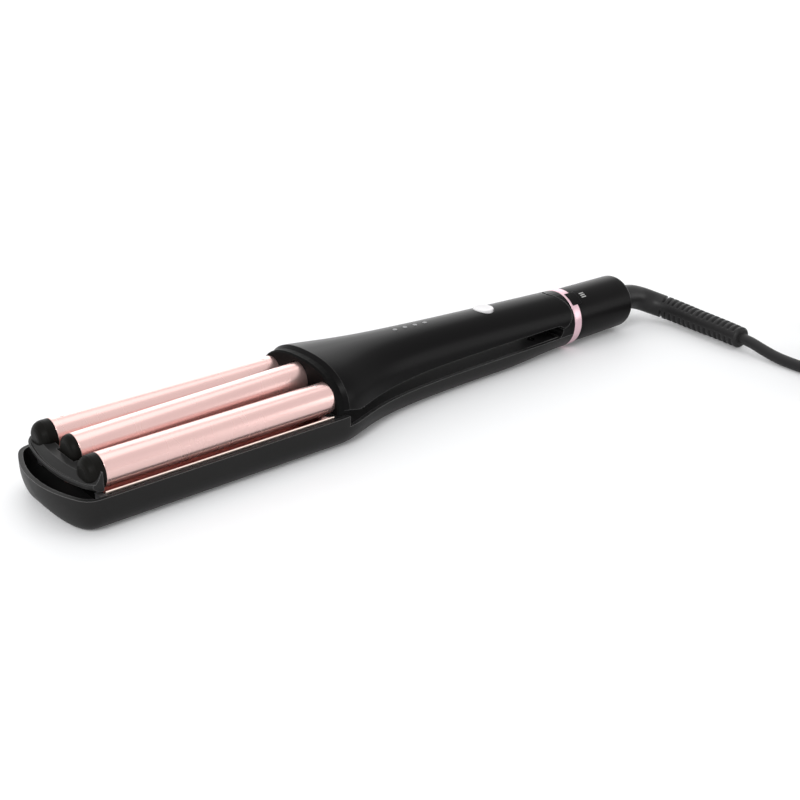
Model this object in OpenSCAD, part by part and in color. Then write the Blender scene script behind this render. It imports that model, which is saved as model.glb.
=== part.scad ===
// Adjustable three-barrel hair waver.
// The lower arm is a long shell whose front is a tray with a wavy heated plate. The upper arm
// carries three heated barrels and is hinged just ahead of the rose-gold ring. The dial behind
// the ring drives a push rod and a wedge, which lift or lower the rear of the middle barrel.
// Stations (s) run along the tool from the tray's tip, and heights are above the table.

/* [Overall] */
// Length from the tray's tip to the rear of the dial
overall_l = 384; // [382:1:388]
// Width across the tray and the handle's mouth
mouth_w = 70; // [69:0.5:72]
// Height of the handle's crown at the mouth
crown_front_z = 41.5; // [41:0.5:43]
// Outer diameter of the ring where handle and dial meet
ring_d = 34; // [33.5:0.1:34.5]
// Wall thickness of the plastic shells
wall = 2.2; // [1.8:0.1:2.4]

/* [Barrels] */
// Outer diameter of each barrel
barrel_d = 16; // [15:0.5:16]
// Distance between neighbouring barrels
barrel_pitch = 22.6; // [22.4:0.1:22.8]
// Height of the two fixed barrels' axes
barrel_z = 25; // [25:0.1:25.4]
// Station of the barrels' front edge
barrel_front_s = 20.5; // [20:0.5:21]
// Tilt of the middle barrel at the deepest wave setting
lift_angle = 1.33; // [1:0.01:1.4]

/* [Plate] */
// Height of the valleys of the wave plate
valley_z = 15.8; // [15.5:0.1:16]
// Height of the ridges of the wave plate
ridge_z = 20.5; // [19:0.5:20.5]
// Thickness of the wave plate
plate_t = 1.6; // [1.2:0.1:1.8]

/* [Finger slot] */
// Height of the slot between the two arms
slot_h = 8; // [7.5:0.1:8]
// Station of the slot's front end
slot_front_s = 149; // [149:0.5:150]
// Height of the slot's lower side
slot_low_z = 12; // [12:0.1:12.4]

/* [Hinge] */
// Station of the hinge pins
hinge_s = 320; // [320:0.5:321]
// Height of the hinge pins
hinge_z = 26; // [25.5:0.1:26]
// Diameter of the hinge pins
hinge_pin_d = 3; // [2.5:0.1:3]

/* [Dial] */
// Length of the dial behind the ring
dial_l = 48; // [47.9:0.1:48]
// Width of the ring
ring_w = 5.8; // [5.5:0.1:6]
// Travel of the push rod over the dial's quarter turn
rod_travel = 8; // [7:0.5:8]

/* [Cord] */
// Diameter of the mains lead
cord_d = 6.5; // [6:0.1:7]
// Diameter of the stored coil at the middle of its turns
coil_d = 75; // [72:1:76]

/* [Hidden] */

$fn = 48;
tiny = 0.01;
fit_gap = 0.15;          // gap between fixed pieces
run_gap = 0.3;           // gap between pieces that move past each other

// Shell envelope
ring_r = ring_d / 2;
ring_z = ring_r;         // height of the ring's and dial's axis
mouth_s = 147;           // station of the upper casing's front edge
mouth_half_w = mouth_w / 2;
ring_s = 329.6;          // station where the shells end
flare_s = 145;           // the shells begin to narrow here
flare_run = 31;          // how fast they narrow
waist_front_z = 18;      // height of the widest line at the mouth
crown_power_front = 2.4; // squareness of the crown's arch at the mouth
crown_power_rear = 2;    // a plain ellipse at the ring
belly_r = 11;            // rounding of the lower edges along the tray and the arm
belly_blend_s = 275;     // the lower edges start turning into the ring's circle here
side_h = 0.3;            // least upright part of each side
nose_r = 67;             // radius of the tray's front in plan
nose_corner_r = 9;       // radius of the tray's front corners in plan
nose_lift_r = 13;        // rounding of the tray's front from below
tip_shift = 0.1;         // keeps the first section wider than a point
rim_z = 17.5;            // height of the tray's rim

// Barrels
barrel_r = barrel_d / 2;
barrel_t = 0.9;          // wall of the metal tubes
barrel_show = 121;       // visible length in front of the collar
collar_s = barrel_front_s + barrel_show + 1;
barrel_rear_s = 147.4;
outer_y = [-barrel_pitch, barrel_pitch];
middle_front_z = barrel_z + 0.73;
middle_rear_s = 148;
pivot_s = 15;
pivot_z = 20.5;
roller_s = 175;
roller_r = 2;
roller_z = 31;
barrel_screw_s = [26.5, 137];
middle_opening_top = 37.2;
bridge_screw_s = 14.2;

// Slot and arms
slot_end_r = slot_h / 2;
slot_high_z = slot_low_z + slot_h;
slot_rear_s = 320;
slot_full_s = 215;       // the slot has its full height from here on
slot_mouth_z = 18.4;     // height of its upper side near the mouth
mouth_corner_z = 21;     // the upper shell's lower corner at the mouth
cover_t = 1.7;
hinge_disc_r = 8.2;
hinge_seat_r = 8.5;
ear_y = [3.8, 5.7];
spring_y = [6.1, 7.8];
boss_y = [8.2, 12.2];
pin_boss_r = 2.8;
rod_bore_r = 4.2;
button_s = 270.5;
button_r = 5.9;
led_s = [206, 213, 220, 227];
board_z = 30.2;
board_t = 1.4;
board_post_at = [[200, 5.2], [200, -5.2], [278, 5.2], [278, -5.2]];

// Dial
dial_s = overall_l - dial_l;
dial_rear_s = overall_l;
dial_front_r = 16.4;
dial_rear_r = 15.9;
dial_edge_r = 4;
bore_r = 12.88;
core_r = 12.8;
core_in_r = 10.2;
core_rear_s = 379.5;
tab_angles = [41, 72];   // measured from the near side over the top
mark_s = 344;
mark_angle = 31;         // from the top towards the near side
rod_z = 24.5;
rod_r = 1.5;
follower_s = 347;        // station of the cam follower at the deepest setting
follower_r = 1.5;
ball_s = 371;
ball_r = 8.8;
neck_r = 7.2;

// The smooth neck and ribbed sleeve leave the dial, drop to the table and turn to the near side
relief_points = [[192, 0, 17], [205, 0, 16.3], [214.5, -2, 13.6], [221, -8, 10.7], [224.5, -18, 8.8],
    [224.8, -30, 8], [223.5, -42, 7.8], [222, -61, 7.5], [220, -76, 7.3]];
// The lead runs on from the sleeve to the stored coil, which lies out of sight on the near side
lead_points = [[220, -76, 7.3], [219, -84, 6.8], [218, -93, 5.3], [217.3, -103, 3.9],
    [217, -114, 3.4], [217, -128, 3.4], [217, -144, 3.4], [217, -162, 3.4]];
// From the coil's outer turn to the plug
tail_points = [[298.7, -162, 3.4], [300, -152, 4.2], [302.6, -141, 5.6], [304, -129, 6.4]];
coil_centre = [254.5, -162];
coil_half_w = 10;
coil_h = 20;
plug_at = [304, -128, 6.5];
plug_l = 33;

function lerp(a, b, u) = a + (b - a) * u;
function clamped(u) = min(1, max(0, u));
function eased(u) = u * u * (3 - 2 * u);
function share(s, from, to) = clamped((s - from) / (to - from));
function signed_power(v, p) = sign(v) * pow(abs(v), p);

// Half-width of the handle: a bell curve from the mouth down to the ring
function bell(s) = 1 / (1 + pow(max(0, s - flare_s) / flare_run, 2));
function handle_half_w(s) =
    ring_r + (mouth_half_w - ring_r) * (bell(s) - bell(ring_s)) / (1 - bell(ring_s));
// Plan outline of the tray's front: one wide arc and a corner arc that touches it
corner_y = mouth_half_w - nose_corner_r;
corner_s = nose_r - sqrt(pow(nose_r - nose_corner_r, 2) - pow(corner_y, 2));
touch_s = nose_r - (nose_r - corner_s) * nose_r / (nose_r - nose_corner_r);
function half_w(s) =
    s < touch_s ? sqrt(pow(nose_r, 2) - pow(nose_r - s - tip_shift, 2)) :
    s < corner_s ? corner_y + sqrt(pow(nose_corner_r, 2) - pow(corner_s - s, 2)) :
    handle_half_w(s);
function crown_z(s) = lerp(crown_front_z, ring_d, share(s, mouth_s, ring_s));
function waist_z(s) = lerp(waist_front_z, ring_z, share(s, mouth_s, ring_s));
function belly_z(s) = s < nose_lift_r ?
    nose_lift_r - sqrt(pow(nose_lift_r, 2) - pow(nose_lift_r - s, 2)) : 0;
function crown_power(s) = lerp(crown_power_front, crown_power_rear, share(s, mouth_s, ring_s));
function edge_r(s, inset) = min(
    lerp(belly_r, ring_r, eased(share(s, belly_blend_s, ring_s))),
    half_w(s),
    min(waist_z(s), rim_z) - belly_z(s) - side_h) - inset;

// Upper half of a cross-section, from the +y side over the crown to the -y side
function arch(s, inset, steps = 22) = [
    for (i = [0 : steps])
        let (a = 180 * i / steps, p = 2 / crown_power(s))
        [(half_w(s) - inset) * signed_power(cos(a), p),
         waist_z(s) + (crown_z(s) - inset - waist_z(s)) * pow(sin(a), p)]
];
// Lower half, from the -y side under the belly to the +y side, starting at the given height
function trough(s, inset, top, steps = 6) = let (
        w = half_w(s) - inset,
        r = max(edge_r(s, inset), 0.2),
        low = belly_z(s) + inset)
    concat(
        [[-w, top]],
        [for (i = [0 : steps]) let (a = 90 * i / steps) [-(w - r) - r * cos(a), low + r - r * sin(a)]],
        [for (i = [0 : steps]) let (a = 90 * i / steps) [(w - r) + r * sin(a), low + r - r * cos(a)]],
        [[w, top]]);

// Solid through a row of sections that all have the same number of points
module loft(stations, sections) {
    n = len(sections[0]);
    m = len(stations);
    points = [for (k = [0 : m - 1]) for (p = sections[k]) [stations[k], p[0], p[1]]];
    sides = [for (k = [0 : m - 2]) for (i = [0 : n - 1]) let (j = (i + 1) % n)
        [k * n + i, (k + 1) * n + i, (k + 1) * n + j, k * n + j]];
    polyhedron(points, concat(
        [[for (i = [0 : n - 1]) i]],
        sides,
        [[for (i = [n - 1 : -1 : 0]) (m - 1) * n + i]]), convexity = 6);
}

// The same across the tool: points are [station, height]
module loft_across(sides_y, sections) {
    n = len(sections[0]);
    m = len(sides_y);
    points = [for (k = [0 : m - 1]) for (p = sections[k]) [p[0], sides_y[k], p[1]]];
    polyhedron(points, concat(
        [[for (i = [0 : n - 1]) i]],
        [for (k = [0 : m - 2]) for (i = [0 : n - 1]) let (j = (i + 1) % n)
            [k * n + i, (k + 1) * n + i, (k + 1) * n + j, k * n + j]],
        [[for (i = [n - 1 : -1 : 0]) (m - 1) * n + i]]), convexity = 6);
}

function rows(from, to, count) = [for (i = [0 : count]) lerp(from, to, i / count)];

// Round tube or sleeve swept along points; radii has one value for each point
module sweep(points, radii, sides = 12) {
    n = len(points);
    along = [for (i = [0 : n - 1])
        let (d = points[min(i + 1, n - 1)] - points[max(i - 1, 0)]) d / norm(d)];
    rings = [for (i = [0 : n - 1])
        let (right = cross(along[i], [0, 0, 1]), u = right / norm(right), v = cross(u, along[i]))
        for (k = [0 : sides - 1]) let (a = 360 * k / sides)
            points[i] + radii[i] * (cos(a) * u + sin(a) * v)];
    polyhedron(rings, concat(
        [[for (k = [sides - 1 : -1 : 0]) k]],
        [for (i = [0 : n - 2]) for (k = [0 : sides - 1]) let (j = (k + 1) % sides)
            [i * sides + j, (i + 1) * sides + j, (i + 1) * sides + k, i * sides + k]],
        [[for (k = [0 : sides - 1]) (n - 1) * sides + k]]), convexity = 6);
}

// Cylinder along the tool between two stations
module rod_x(from, to, r, y = 0, z = 0) {
    translate([from, y, z]) rotate([0, 90, 0]) cylinder(h = to - from, r = r);
}

// Cylinder across the tool between two side positions
module rod_y(from, to, r, s, z) {
    translate([s, to, z]) rotate([90, 0, 0]) cylinder(h = to - from, r = r);
}

// Turned shape about an axis along the tool; the profile is [radius, station]
module turned(profile, z, angle = 360) {
    translate([0, 0, z]) rotate([0, 90, 0]) rotate_extrude(angle = angle, $fn = 96) polygon(profile);
}

// Side-view outline [station, height] taken right across the tool
module across(half) {
    translate([0, half, 0]) rotate([90, 0, 0]) linear_extrude(height = 2 * half) children();
}

// Moves the station frame so that the origin is under the middle of the tool
module seated() {
    translate([-overall_l / 2, 0, 0]) children();
}

module slot_outline() {
    rear = slot_rear_s - slot_end_r;
    polygon([
        [slot_front_s, slot_low_z],
        [rear, slot_low_z],
        [rear, slot_high_z],
        [slot_full_s, slot_high_z],
        [slot_front_s + slot_h, slot_mouth_z],
        [slot_front_s, mouth_corner_z]]);
    translate([rear, slot_low_z + slot_end_r]) circle(r = slot_end_r);
}

module box_between(low, high) {
    translate(low) cube(high - low);
}

// Quarter of a circle's points, for rounded edges of turned shapes
function edge_arc(r, s, round, from, to, steps = 6) =
    [for (i = [0 : steps]) let (a = lerp(from, to, i / steps)) [r + round * cos(a), s + round * sin(a)]];

/* ---- lower arm ---- */

tray_rows = concat([0, 0.4, 1.2, 2.4, 4, 6], rows(8, corner_s, 4), [45, 100, 145]);
arm_rows = concat(rows(152, 200, 8), rows(212, 272, 4), rows(282, ring_s, 4));

module lower_casing() {
    outer_rows = concat(tray_rows, arm_rows);
    inner_rows = concat([wall, 3.2, 4.8, 7], rows(9.5, corner_s, 3), [45, 100, 145], rows(152, 200, 6),
        rows(215, 300, 5), [318]);
    color([0.1, 0.1, 0.11]) difference() {
        loft(outer_rows, [for (s = outer_rows) trough(s, 0, rim_z)]);
        loft(inner_rows, [for (s = inner_rows) trough(s, wall, rim_z + 1)]);
        across(mouth_half_w + 1) slot_outline();
        box_between([slot_front_s + 1, -ring_d * 2, slot_low_z], [overall_l, ring_d * 2, rim_z + 1]);
    }
    color([0.1, 0.1, 0.11]) lower_bosses();
    color([0.1, 0.1, 0.11]) tray_ribs();
}

// Low ribs on the tray's floor ahead of the plate
module tray_ribs() {
    for (y = [-20, 0, 20]) translate([0, y + 0.7, 0]) rotate([90, 0, 0]) linear_extrude(height = 1.4)
        polygon([[4, 6], [9, wall - 0.5], [18, wall - 0.5], [18, 8], [8, 8]]);
}

boss_r = 2.8;
lower_boss_at = [[168, 19], [168, -19], [304, 6.2], [304, -6.2]];

module lower_bosses() {
    for (p = lower_boss_at) translate([p[0], p[1], wall - 0.2]) difference() {
        cylinder(h = slot_low_z - cover_t - wall + 0.2 - fit_gap, r = boss_r);
        translate([0, 0, 2]) cylinder(h = slot_low_z, r = 1);
    }
}

// Half-width inside the lower shell at a height
function trough_half_w(s, inset, z) =
    let (w = half_w(s) - inset, r = edge_r(s, inset), depth = belly_z(s) + inset + r - z)
    depth <= 0 ? w : w - r + sqrt(pow(r, 2) - pow(depth, 2));

// Flat plate between two mirrored side lines of [station, half-width]
module plan_plate(side) {
    polygon(concat(side, [for (i = [len(side) - 1 : -1 : 0]) [side[i][0], -side[i][1]]]));
}

module lower_inner_cover() {
    color([0.12, 0.12, 0.13]) translate([0, 0, slot_low_z - cover_t]) difference() {
        linear_extrude(height = cover_t) plan_plate(
            [for (s = rows(144, 317.5, 20)) [s, trough_half_w(s, wall, slot_low_z - cover_t) - run_gap]]);
        for (p = lower_boss_at) translate([p[0], p[1], -1]) {
            cylinder(h = 4, r = 1.2);
            translate([0, 0, 1.7]) cylinder(h = 4, r = 2.3);
        }
    }
}

module screw_down(length) {
    cylinder(h = 0.9, r = 2.1);
    translate([0, 0, -length]) cylinder(h = length + tiny, r = 0.95);
}

module lower_cover_screws() {
    color("silver") for (p = lower_boss_at) translate([p[0], p[1], slot_low_z - 0.95]) screw_down(6);
}

plate_front_s = 19;
plate_rear_s = 141.5;
plate_half_w = 31.4;
plate_edge_z = 18;
carrier_low_z = 9;
clip_s = 15.8;
clip_top_z = 17.3;
heater_half_w = 23;

// Height of the wave plate's upper face: valleys under the barrels, ridges between them
function wave_z(y) = abs(y) <= barrel_pitch ?
    valley_z + (ridge_z - valley_z) / 2 * (1 - cos(360 * y / barrel_pitch)) :
    valley_z + (plate_edge_z - valley_z) * pow((abs(y) - barrel_pitch) / (plate_half_w - barrel_pitch), 2);
wave_y = [for (i = [-28 : 28]) plate_half_w * i / 28];

module along_plate(from, to) {
    translate([from, 0, 0]) rotate([90, 0, 90]) linear_extrude(height = to - from) children();
}

module wave_plate() {
    color([0.86, 0.66, 0.62]) along_plate(plate_front_s, plate_rear_s) polygon(concat(
        [for (y = wave_y) [y, wave_z(y)]],
        [for (i = [len(wave_y) - 1 : -1 : 0]) [wave_y[i], wave_z(wave_y[i]) - plate_t]]));
}

// Bent metal strips that hold the plate's front corners down
module plate_clips() {
    color("silver") for (side = [-1, 1]) scale([1, side, 1]) {
        box_between([clip_s, 27, clip_top_z - 0.8], [plate_front_s - fit_gap, 32.3, clip_top_z]);
        box_between([clip_s, 27, carrier_low_z], [clip_s + 0.8, 30.6, clip_top_z]);
    }
}

module plate_carrier() {
    inner = [for (y = wave_y) if (abs(y) < plate_half_w - 0.5) y];
    color([0.08, 0.08, 0.08]) difference() {
        along_plate(plate_front_s + 0.5, plate_rear_s - 0.5) polygon(concat(
            [for (y = inner) [y, wave_z(y) - plate_t - 0.05]],
            [[inner[len(inner) - 1], carrier_low_z], [inner[0], carrier_low_z]]));
        box_between([30, -heater_half_w, carrier_low_z - 1], [130, heater_half_w, 13]);
    }
}

module plate_heater() {
    color([0.85, 0.85, 0.8]) {
        box_between([30.5, -heater_half_w + 0.4, 10.8], [129.5, heater_half_w - 0.4, 12.9]);
        box_between([31.5, -heater_half_w + 2, carrier_low_z + 0.3], [128.5, heater_half_w - 2, 10.8]);
    }
}

module plate_cushions() {
    color([0.7, 0.3, 0.2]) for (s = [26, 134], y = [-18, 18])
        translate([s, y, wall]) cylinder(h = carrier_low_z - wall, r = 3.5);
}

module plate_wires() {
    color([0.8, 0.8, 0.8]) for (y = [-2, 2]) rod_x(142, 316, 0.9, y, 6.5);
}

/* ---- hinge, core and dial ---- */

module hinge_block() {
    block_rows = rows(318.5, ring_s, 4);
    color([0.1, 0.1, 0.11]) difference() {
        loft(block_rows, [for (s = block_rows) let (low = trough(s, 0, waist_z(s)))
            concat(arch(s, 0), [for (i = [1 : len(low) - 2]) low[i]])]);
        box_between([300, -ring_d, -1], [overall_l, ring_d, slot_low_z]);
        box_between([300, -ring_d, slot_high_z - run_gap], [hinge_s, ring_d, crown_front_z]);
        rod_y(-ring_d, ring_d, hinge_seat_r, hinge_s, hinge_z);
        across(ring_d) slot_outline();
        rod_x(hinge_s, overall_l, rod_bore_r, 0, rod_z);
    }
    color([0.1, 0.1, 0.11]) for (side = [-1, 1]) hinge_ear(side);
}

module hinge_ear(side) {
    from = side > 0 ? ear_y[0] : -ear_y[1];
    to = from + ear_y[1] - ear_y[0];
    difference() {
        union() {
            rod_y(from, to, 3, hinge_s, hinge_z);
            box_between([hinge_s, from, hinge_z - 3], [ring_s, to, hinge_z + 2.2]);
        }
        rod_y(from - 1, to + 1, hinge_pin_d / 2 + 0.02, hinge_s, hinge_z);
        rod_x(hinge_s - 5, overall_l, 3.6, 0, rod_z);
    }
}

module core_tube() {
    color([0.16, 0.16, 0.17]) difference() {
        rod_x(ring_s, core_rear_s, core_r, 0, ring_z);
        rod_x(ring_s + 4, core_rear_s + 1, core_in_r, 0, ring_z);
        rod_x(ring_s - 1, ring_s + 5, rod_bore_r, 0, rod_z);
        // slot for the cam follower, on the near side
        box_between([follower_s - 2, -ring_r, ring_z - follower_r - run_gap],
            [follower_s + rod_travel + 2, 0, ring_z + follower_r + run_gap]);
        // pocket for the detent ball, underneath
        translate([365, 0, ring_z - core_r - 1]) cylinder(h = 5, r = 1.5 + fit_gap);
    }
}

module hinge_pins() {
    color("silver") for (side = [-1, 1])
        rod_y(side > 0 ? ear_y[0] - 0.2 : -boss_y[1] + 1.8, side > 0 ? boss_y[1] - 1.8 : -ear_y[0] + 0.2,
            hinge_pin_d / 2, hinge_s, hinge_z);
}

// A torsion spring on each pin pushes the arms apart: its close turns as one sleeve, and two legs
spring_wire_r = 0.4;
spring_turn_r = 2.2;
spring_leg_l = 6;
module hinge_springs() {
    color("silver") for (side = [-1, 1]) {
        from = side > 0 ? spring_y[0] : -spring_y[1];
        to = from + spring_y[1] - spring_y[0];
        mid_y = (from + to) / 2;
        difference() {
            rod_y(from, to, spring_turn_r + spring_wire_r, hinge_s, hinge_z);
            rod_y(from - 1, to + 1, spring_turn_r - spring_wire_r, hinge_s, hinge_z);
        }
        rod_x(hinge_s, hinge_s + spring_leg_l, spring_wire_r * 0.9, mid_y, hinge_z - spring_turn_r);
        rod_x(hinge_s - spring_leg_l, hinge_s, spring_wire_r * 0.9, mid_y, hinge_z + spring_turn_r);
    }
}

module swivel_socket() {
    color([0.14, 0.14, 0.15]) difference() {
        rod_x(ball_s - 8, core_rear_s - 0.3, core_in_r - 0.05, 0, ring_z);
        translate([ball_s, 0, ring_z]) sphere(r = ball_r + fit_gap);
        rod_x(ball_s - 9, ball_s, 6.5, 0, ring_z);
        rod_x(ball_s, core_rear_s + 1, neck_r + 0.3, 0, ring_z);
    }
}

module swivel_ball() {
    color([0.09, 0.09, 0.1]) difference() {
        union() {
            translate([ball_s, 0, ring_z]) sphere(r = ball_r);
            rod_x(ball_s, overall_l, neck_r, 0, ring_z);
        }
        rod_x(ball_s - 10, ball_s, cord_d / 2, 0, ring_z);
    }
}

module detent_ball() {
    color("silver") translate([365, 0, ring_z - core_r + 1.25]) sphere(r = 1.3);
}

// The ring turns with the dial; its top is cut away for the dial's tab
module trim_ring() {
    color([0.9, 0.72, 0.68]) difference() {
        turned([[bore_r, ring_s + run_gap], [ring_r, ring_s + run_gap], [ring_r, ring_s + ring_w + run_gap],
            [bore_r, ring_s + ring_w + run_gap]], ring_z);
        tab_sector([[ring_r - 1.6, ring_s + 1.6], [ring_r + 1, ring_s + 1.6], [ring_r + 1, dial_s + 1],
            [ring_r - 1.6, dial_s + 1]]);
    }
}

// Part of a turned shape between the tab's two angles
module tab_sector(profile) {
    translate([0, 0, ring_z]) rotate([tab_angles[0] - 90, 0, 0]) rotate([0, 90, 0])
        rotate([0, 0, 90 - tab_angles[1] + tab_angles[0] - 180])
            rotate_extrude(angle = tab_angles[1] - tab_angles[0], $fn = 96) polygon(profile);
}

module selector_dial() {
    color([0.1, 0.1, 0.11]) difference() {
        union() {
            turned(concat(
                [[bore_r, dial_s], [dial_front_r, dial_s]],
                edge_arc(dial_rear_r - dial_edge_r, dial_rear_s - dial_edge_r, dial_edge_r, 0, 90),
                [[neck_r + 0.8, dial_rear_s], [neck_r + 0.8, core_rear_s + run_gap],
                 [bore_r, core_rear_s + run_gap]]), ring_z);
            tab_sector([[ring_r - 1.5, ring_s + 1.7], [ring_r + 0.2, ring_s + 1.7],
                [ring_r + 0.2, dial_s + 3], [ring_r - 1.5, dial_s + 3]]);
        }
        cam_groove();
        dial_mark();
    }
}

// Helical groove in the dial's bore, a quarter turn long
module cam_groove() {
    steps = 18;
    for (i = [0 : steps]) translate([follower_s + rod_travel * i / steps, 0, ring_z])
        rotate([90 * i / steps, 0, 0]) translate([0, -11.5, 0]) rotate([90, 0, 0])
            cylinder(h = 3.5, r = follower_r + 0.35, $fn = 24);
}

// Three short bars behind the tab, set into the dial
module dial_mark() {
    color([0.85, 0.85, 0.85]) for (k = [-1 : 1])
        translate([0, 0, ring_z]) rotate([mark_angle + 5 * k, 0, 0])
            box_between([mark_s - 1.8, -0.35, dial_front_r - 0.5], [mark_s + 1.8, 0.35, dial_front_r + 0.1]);
}

module cam_plunger() {
    color([0.75, 0.75, 0.7]) {
        difference() {
            rod_x(follower_s - 3, follower_s + 3, core_in_r - run_gap, 0, ring_z);
            rod_x(follower_s - 4, follower_s + 4, 4, 0, ring_z - 3);
        }
        rod_x(hinge_s + 0.9, follower_s, rod_r, 0, rod_z);
        translate([follower_s, -9, ring_z]) rotate([90, 0, 0]) cylinder(h = 5.6, r = follower_r);
    }
}

/* ---- upper arm ---- */

upper_rows = concat([mouth_s, 149.5, 153], rows(157, 197, 8), rows(208, 268, 4), rows(283, ring_s, 3));
upper_boss_at = [[186, 14], [186, -14], [302, 8.5], [302, -8.5]];

module upper_side_limit() {
    translate([mouth_s - 1, waist_front_z]) square([hinge_s - mouth_s + 1, crown_front_z]);
    translate([hinge_s, hinge_z]) circle(r = hinge_disc_r);
}

module upper_casing() {
    inner_rows = concat([mouth_s - 1], rows(153, 197, 9), rows(208, 268, 4), rows(283, ring_s + 1, 3));
    color([0.09, 0.09, 0.1]) intersection() {
        difference() {
            loft(upper_rows, [for (s = upper_rows) arch(s, 0)]);
            loft(inner_rows, [for (s = inner_rows) concat(
                [[half_w(s) - wall, waist_z(s) - 2]], arch(s, wall), [[-half_w(s) + wall, waist_z(s) - 2]])]);
            across(mouth_half_w + 1) {
                slot_outline();
                polygon([
                    [mouth_s - 1, slot_low_z],
                    [mouth_s - 1, mouth_corner_z],
                    [slot_front_s + tiny, mouth_corner_z],
                    [slot_front_s + tiny, slot_low_z]]);
            }
            translate([button_s, 0, 30]) cylinder(h = 12, r = button_r + 0.25);
            for (s = led_s) translate([s, 0, 30]) cylinder(h = 12, r = 1.3, $fn = 24);
        }
        across(mouth_half_w + 2) upper_side_limit();
    }
    color([0.09, 0.09, 0.1]) {
        upper_bosses();
        for (side = [-1, 1]) difference() {
            rod_y(side > 0 ? boss_y[0] : -boss_y[1], side > 0 ? boss_y[1] : -boss_y[0], pin_boss_r,
                hinge_s, hinge_z);
            rod_y(-ring_r, ring_r, hinge_pin_d / 2 + 0.05, hinge_s, hinge_z);
        }
    }
}

module upper_bosses() {
    for (p = upper_boss_at) let (low = slot_high_z + cover_t + fit_gap, top = p[0] < 200 ? 33.5 : 30.5)
        translate([p[0], p[1], low]) difference() {
            cylinder(h = top - low, r = boss_r);
            translate([0, 0, -1]) cylinder(h = 7, r = 1);
        }
}

module upper_inner_cover() {
    color([0.12, 0.12, 0.13]) difference() {
        union() {
            translate([0, 0, slot_high_z]) linear_extrude(height = cover_t)
                plan_plate([for (s = rows(156.5, 317, 14)) [s, half_w(s) - wall - 0.75]]);
            // guides for the push rod
            for (s = [204, 246, 292], y = [-4.2, 2.4])
                box_between([s, y, slot_high_z + cover_t - tiny], [s + 4, y + 1.8, rod_z + rod_r]);
            for (p = board_post_at) translate([p[0], p[1], slot_high_z + cover_t - tiny])
                cylinder(h = board_z - slot_high_z - cover_t, r = 1.5, $fn = 24);
        }
        for (p = upper_boss_at) translate([p[0], p[1], slot_high_z - 1]) {
            cylinder(h = 4, r = 1.2);
            cylinder(h = 2, r = 2.3);
        }
        for (p = board_post_at) translate([p[0], p[1], board_z - 3]) cylinder(h = 4, r = 0.65, $fn = 24);
    }
}

module upper_cover_screws() {
    color("silver") for (p = upper_boss_at) translate([p[0], p[1], slot_high_z + 0.95]) mirror([0, 0, 1])
        screw_down(6);
}

collar_rear_s = 154.5;

// Black inner collar: fills the mouth behind the barrels, with a tall opening for the middle one
module barrel_collar() {
    rows_s = [collar_s, collar_s + 0.8, mouth_s - 0.1, mouth_s - 0.05, collar_rear_s];
    inset = [wall + 0.2, wall - 0.6, wall - 0.6, wall + fit_gap, wall + fit_gap];
    color([0.06, 0.06, 0.06]) difference() {
        loft(rows_s, [for (k = [0 : 4]) arch(rows_s[k], inset[k])]);
        box_between([collar_s - 1, -mouth_w, 0], [collar_rear_s + 1, mouth_w, rim_z + 1.2]);
        for (y = outer_y) rod_x(collar_s - 1, collar_rear_s + 1, barrel_r + 0.1, y, barrel_z);
        translate([collar_s - 1, 0, 0]) rotate([90, 0, 90]) linear_extrude(height = 20) {
            translate([0, middle_opening_top - barrel_r - 0.5]) circle(r = barrel_r + 0.5);
            translate([-barrel_r - 0.5, 0]) square([barrel_d + 1, middle_opening_top - barrel_r - 0.5]);
        }
    }
}

// Chassis that holds the fixed barrels from inside and guides the wedge
module barrel_carrier() {
    base_z = slot_high_z + cover_t + 0.2;
    color([0.3, 0.3, 0.3]) {
        difference() {
            union() {
                box_between([156, -25, base_z], [159, 25, 28.5]);
                box_between([156, -13, base_z], [159, 13, 35.5]);
            }
            box_between([155, -5, base_z - 1], [160, 5, 34]);
        }
        for (y = outer_y) difference() {
            union() {
                rod_x(barrel_screw_s[1] - 4, 152, barrel_r - barrel_t - fit_gap, y, barrel_z);
                rod_x(151, 156 + tiny, 5, y, barrel_z);
            }
            translate([barrel_screw_s[1], y, barrel_z + 2]) cylinder(h = 8, r = 0.6, $fn = 24);
        }
        for (y = [-6.5, 5]) box_between([159 - tiny, y, base_z], [190, y + 1.5, 26]);
    }
}

module tube_x(from, to, y, z) {
    difference() {
        rod_x(from, to, barrel_r, y, z);
        rod_x(from - 1, to + 1, barrel_r - barrel_t, y, z);
    }
}

rose = [0.87, 0.69, 0.66];

module outer_barrel(y) {
    color(rose) difference() {
        tube_x(barrel_front_s, barrel_rear_s, y, barrel_z);
        for (s = barrel_screw_s) translate([s, y, barrel_z]) cylinder(h = 12, r = 0.8, $fn = 24);
    }
}

module outer_barrel_left() { outer_barrel(outer_y[0]); }
module outer_barrel_right() { outer_barrel(outer_y[1]); }

module heater_rod(y, z, rear = 136) {
    color([0.85, 0.85, 0.8]) difference() {
        rod_x(31, rear, barrel_r - barrel_t - fit_gap, y, z);
        box_between([30, y - 4.2, z - 1.4], [rear + 1, y + 4.2, z + 1.4]);
    }
    color([0.9, 0.9, 0.9]) box_between([32, y - 4, z - 1.2], [rear - 1, y + 4, z + 1.2]);
}

module barrel_heater_left() { heater_rod(outer_y[0], barrel_z, 131); }
module barrel_heater_right() { heater_rod(outer_y[1], barrel_z, 131); }

// Rounded black end of a barrel with a plug that sits in the tube
cap_head_l = 8;
cap_round = 5;
module cap_shape(head_l, round, r = barrel_r) {
    plug_r = barrel_r - barrel_t - fit_gap;
    rotate([0, 90, 0]) rotate_extrude() polygon(concat(
        [[0, 8.5], [0, -head_l]],
        edge_arc(r - round, -head_l + round, round, -90, 0),
        [[r, 0], [plug_r, 0], [plug_r, 8.5]]));
}

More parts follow.
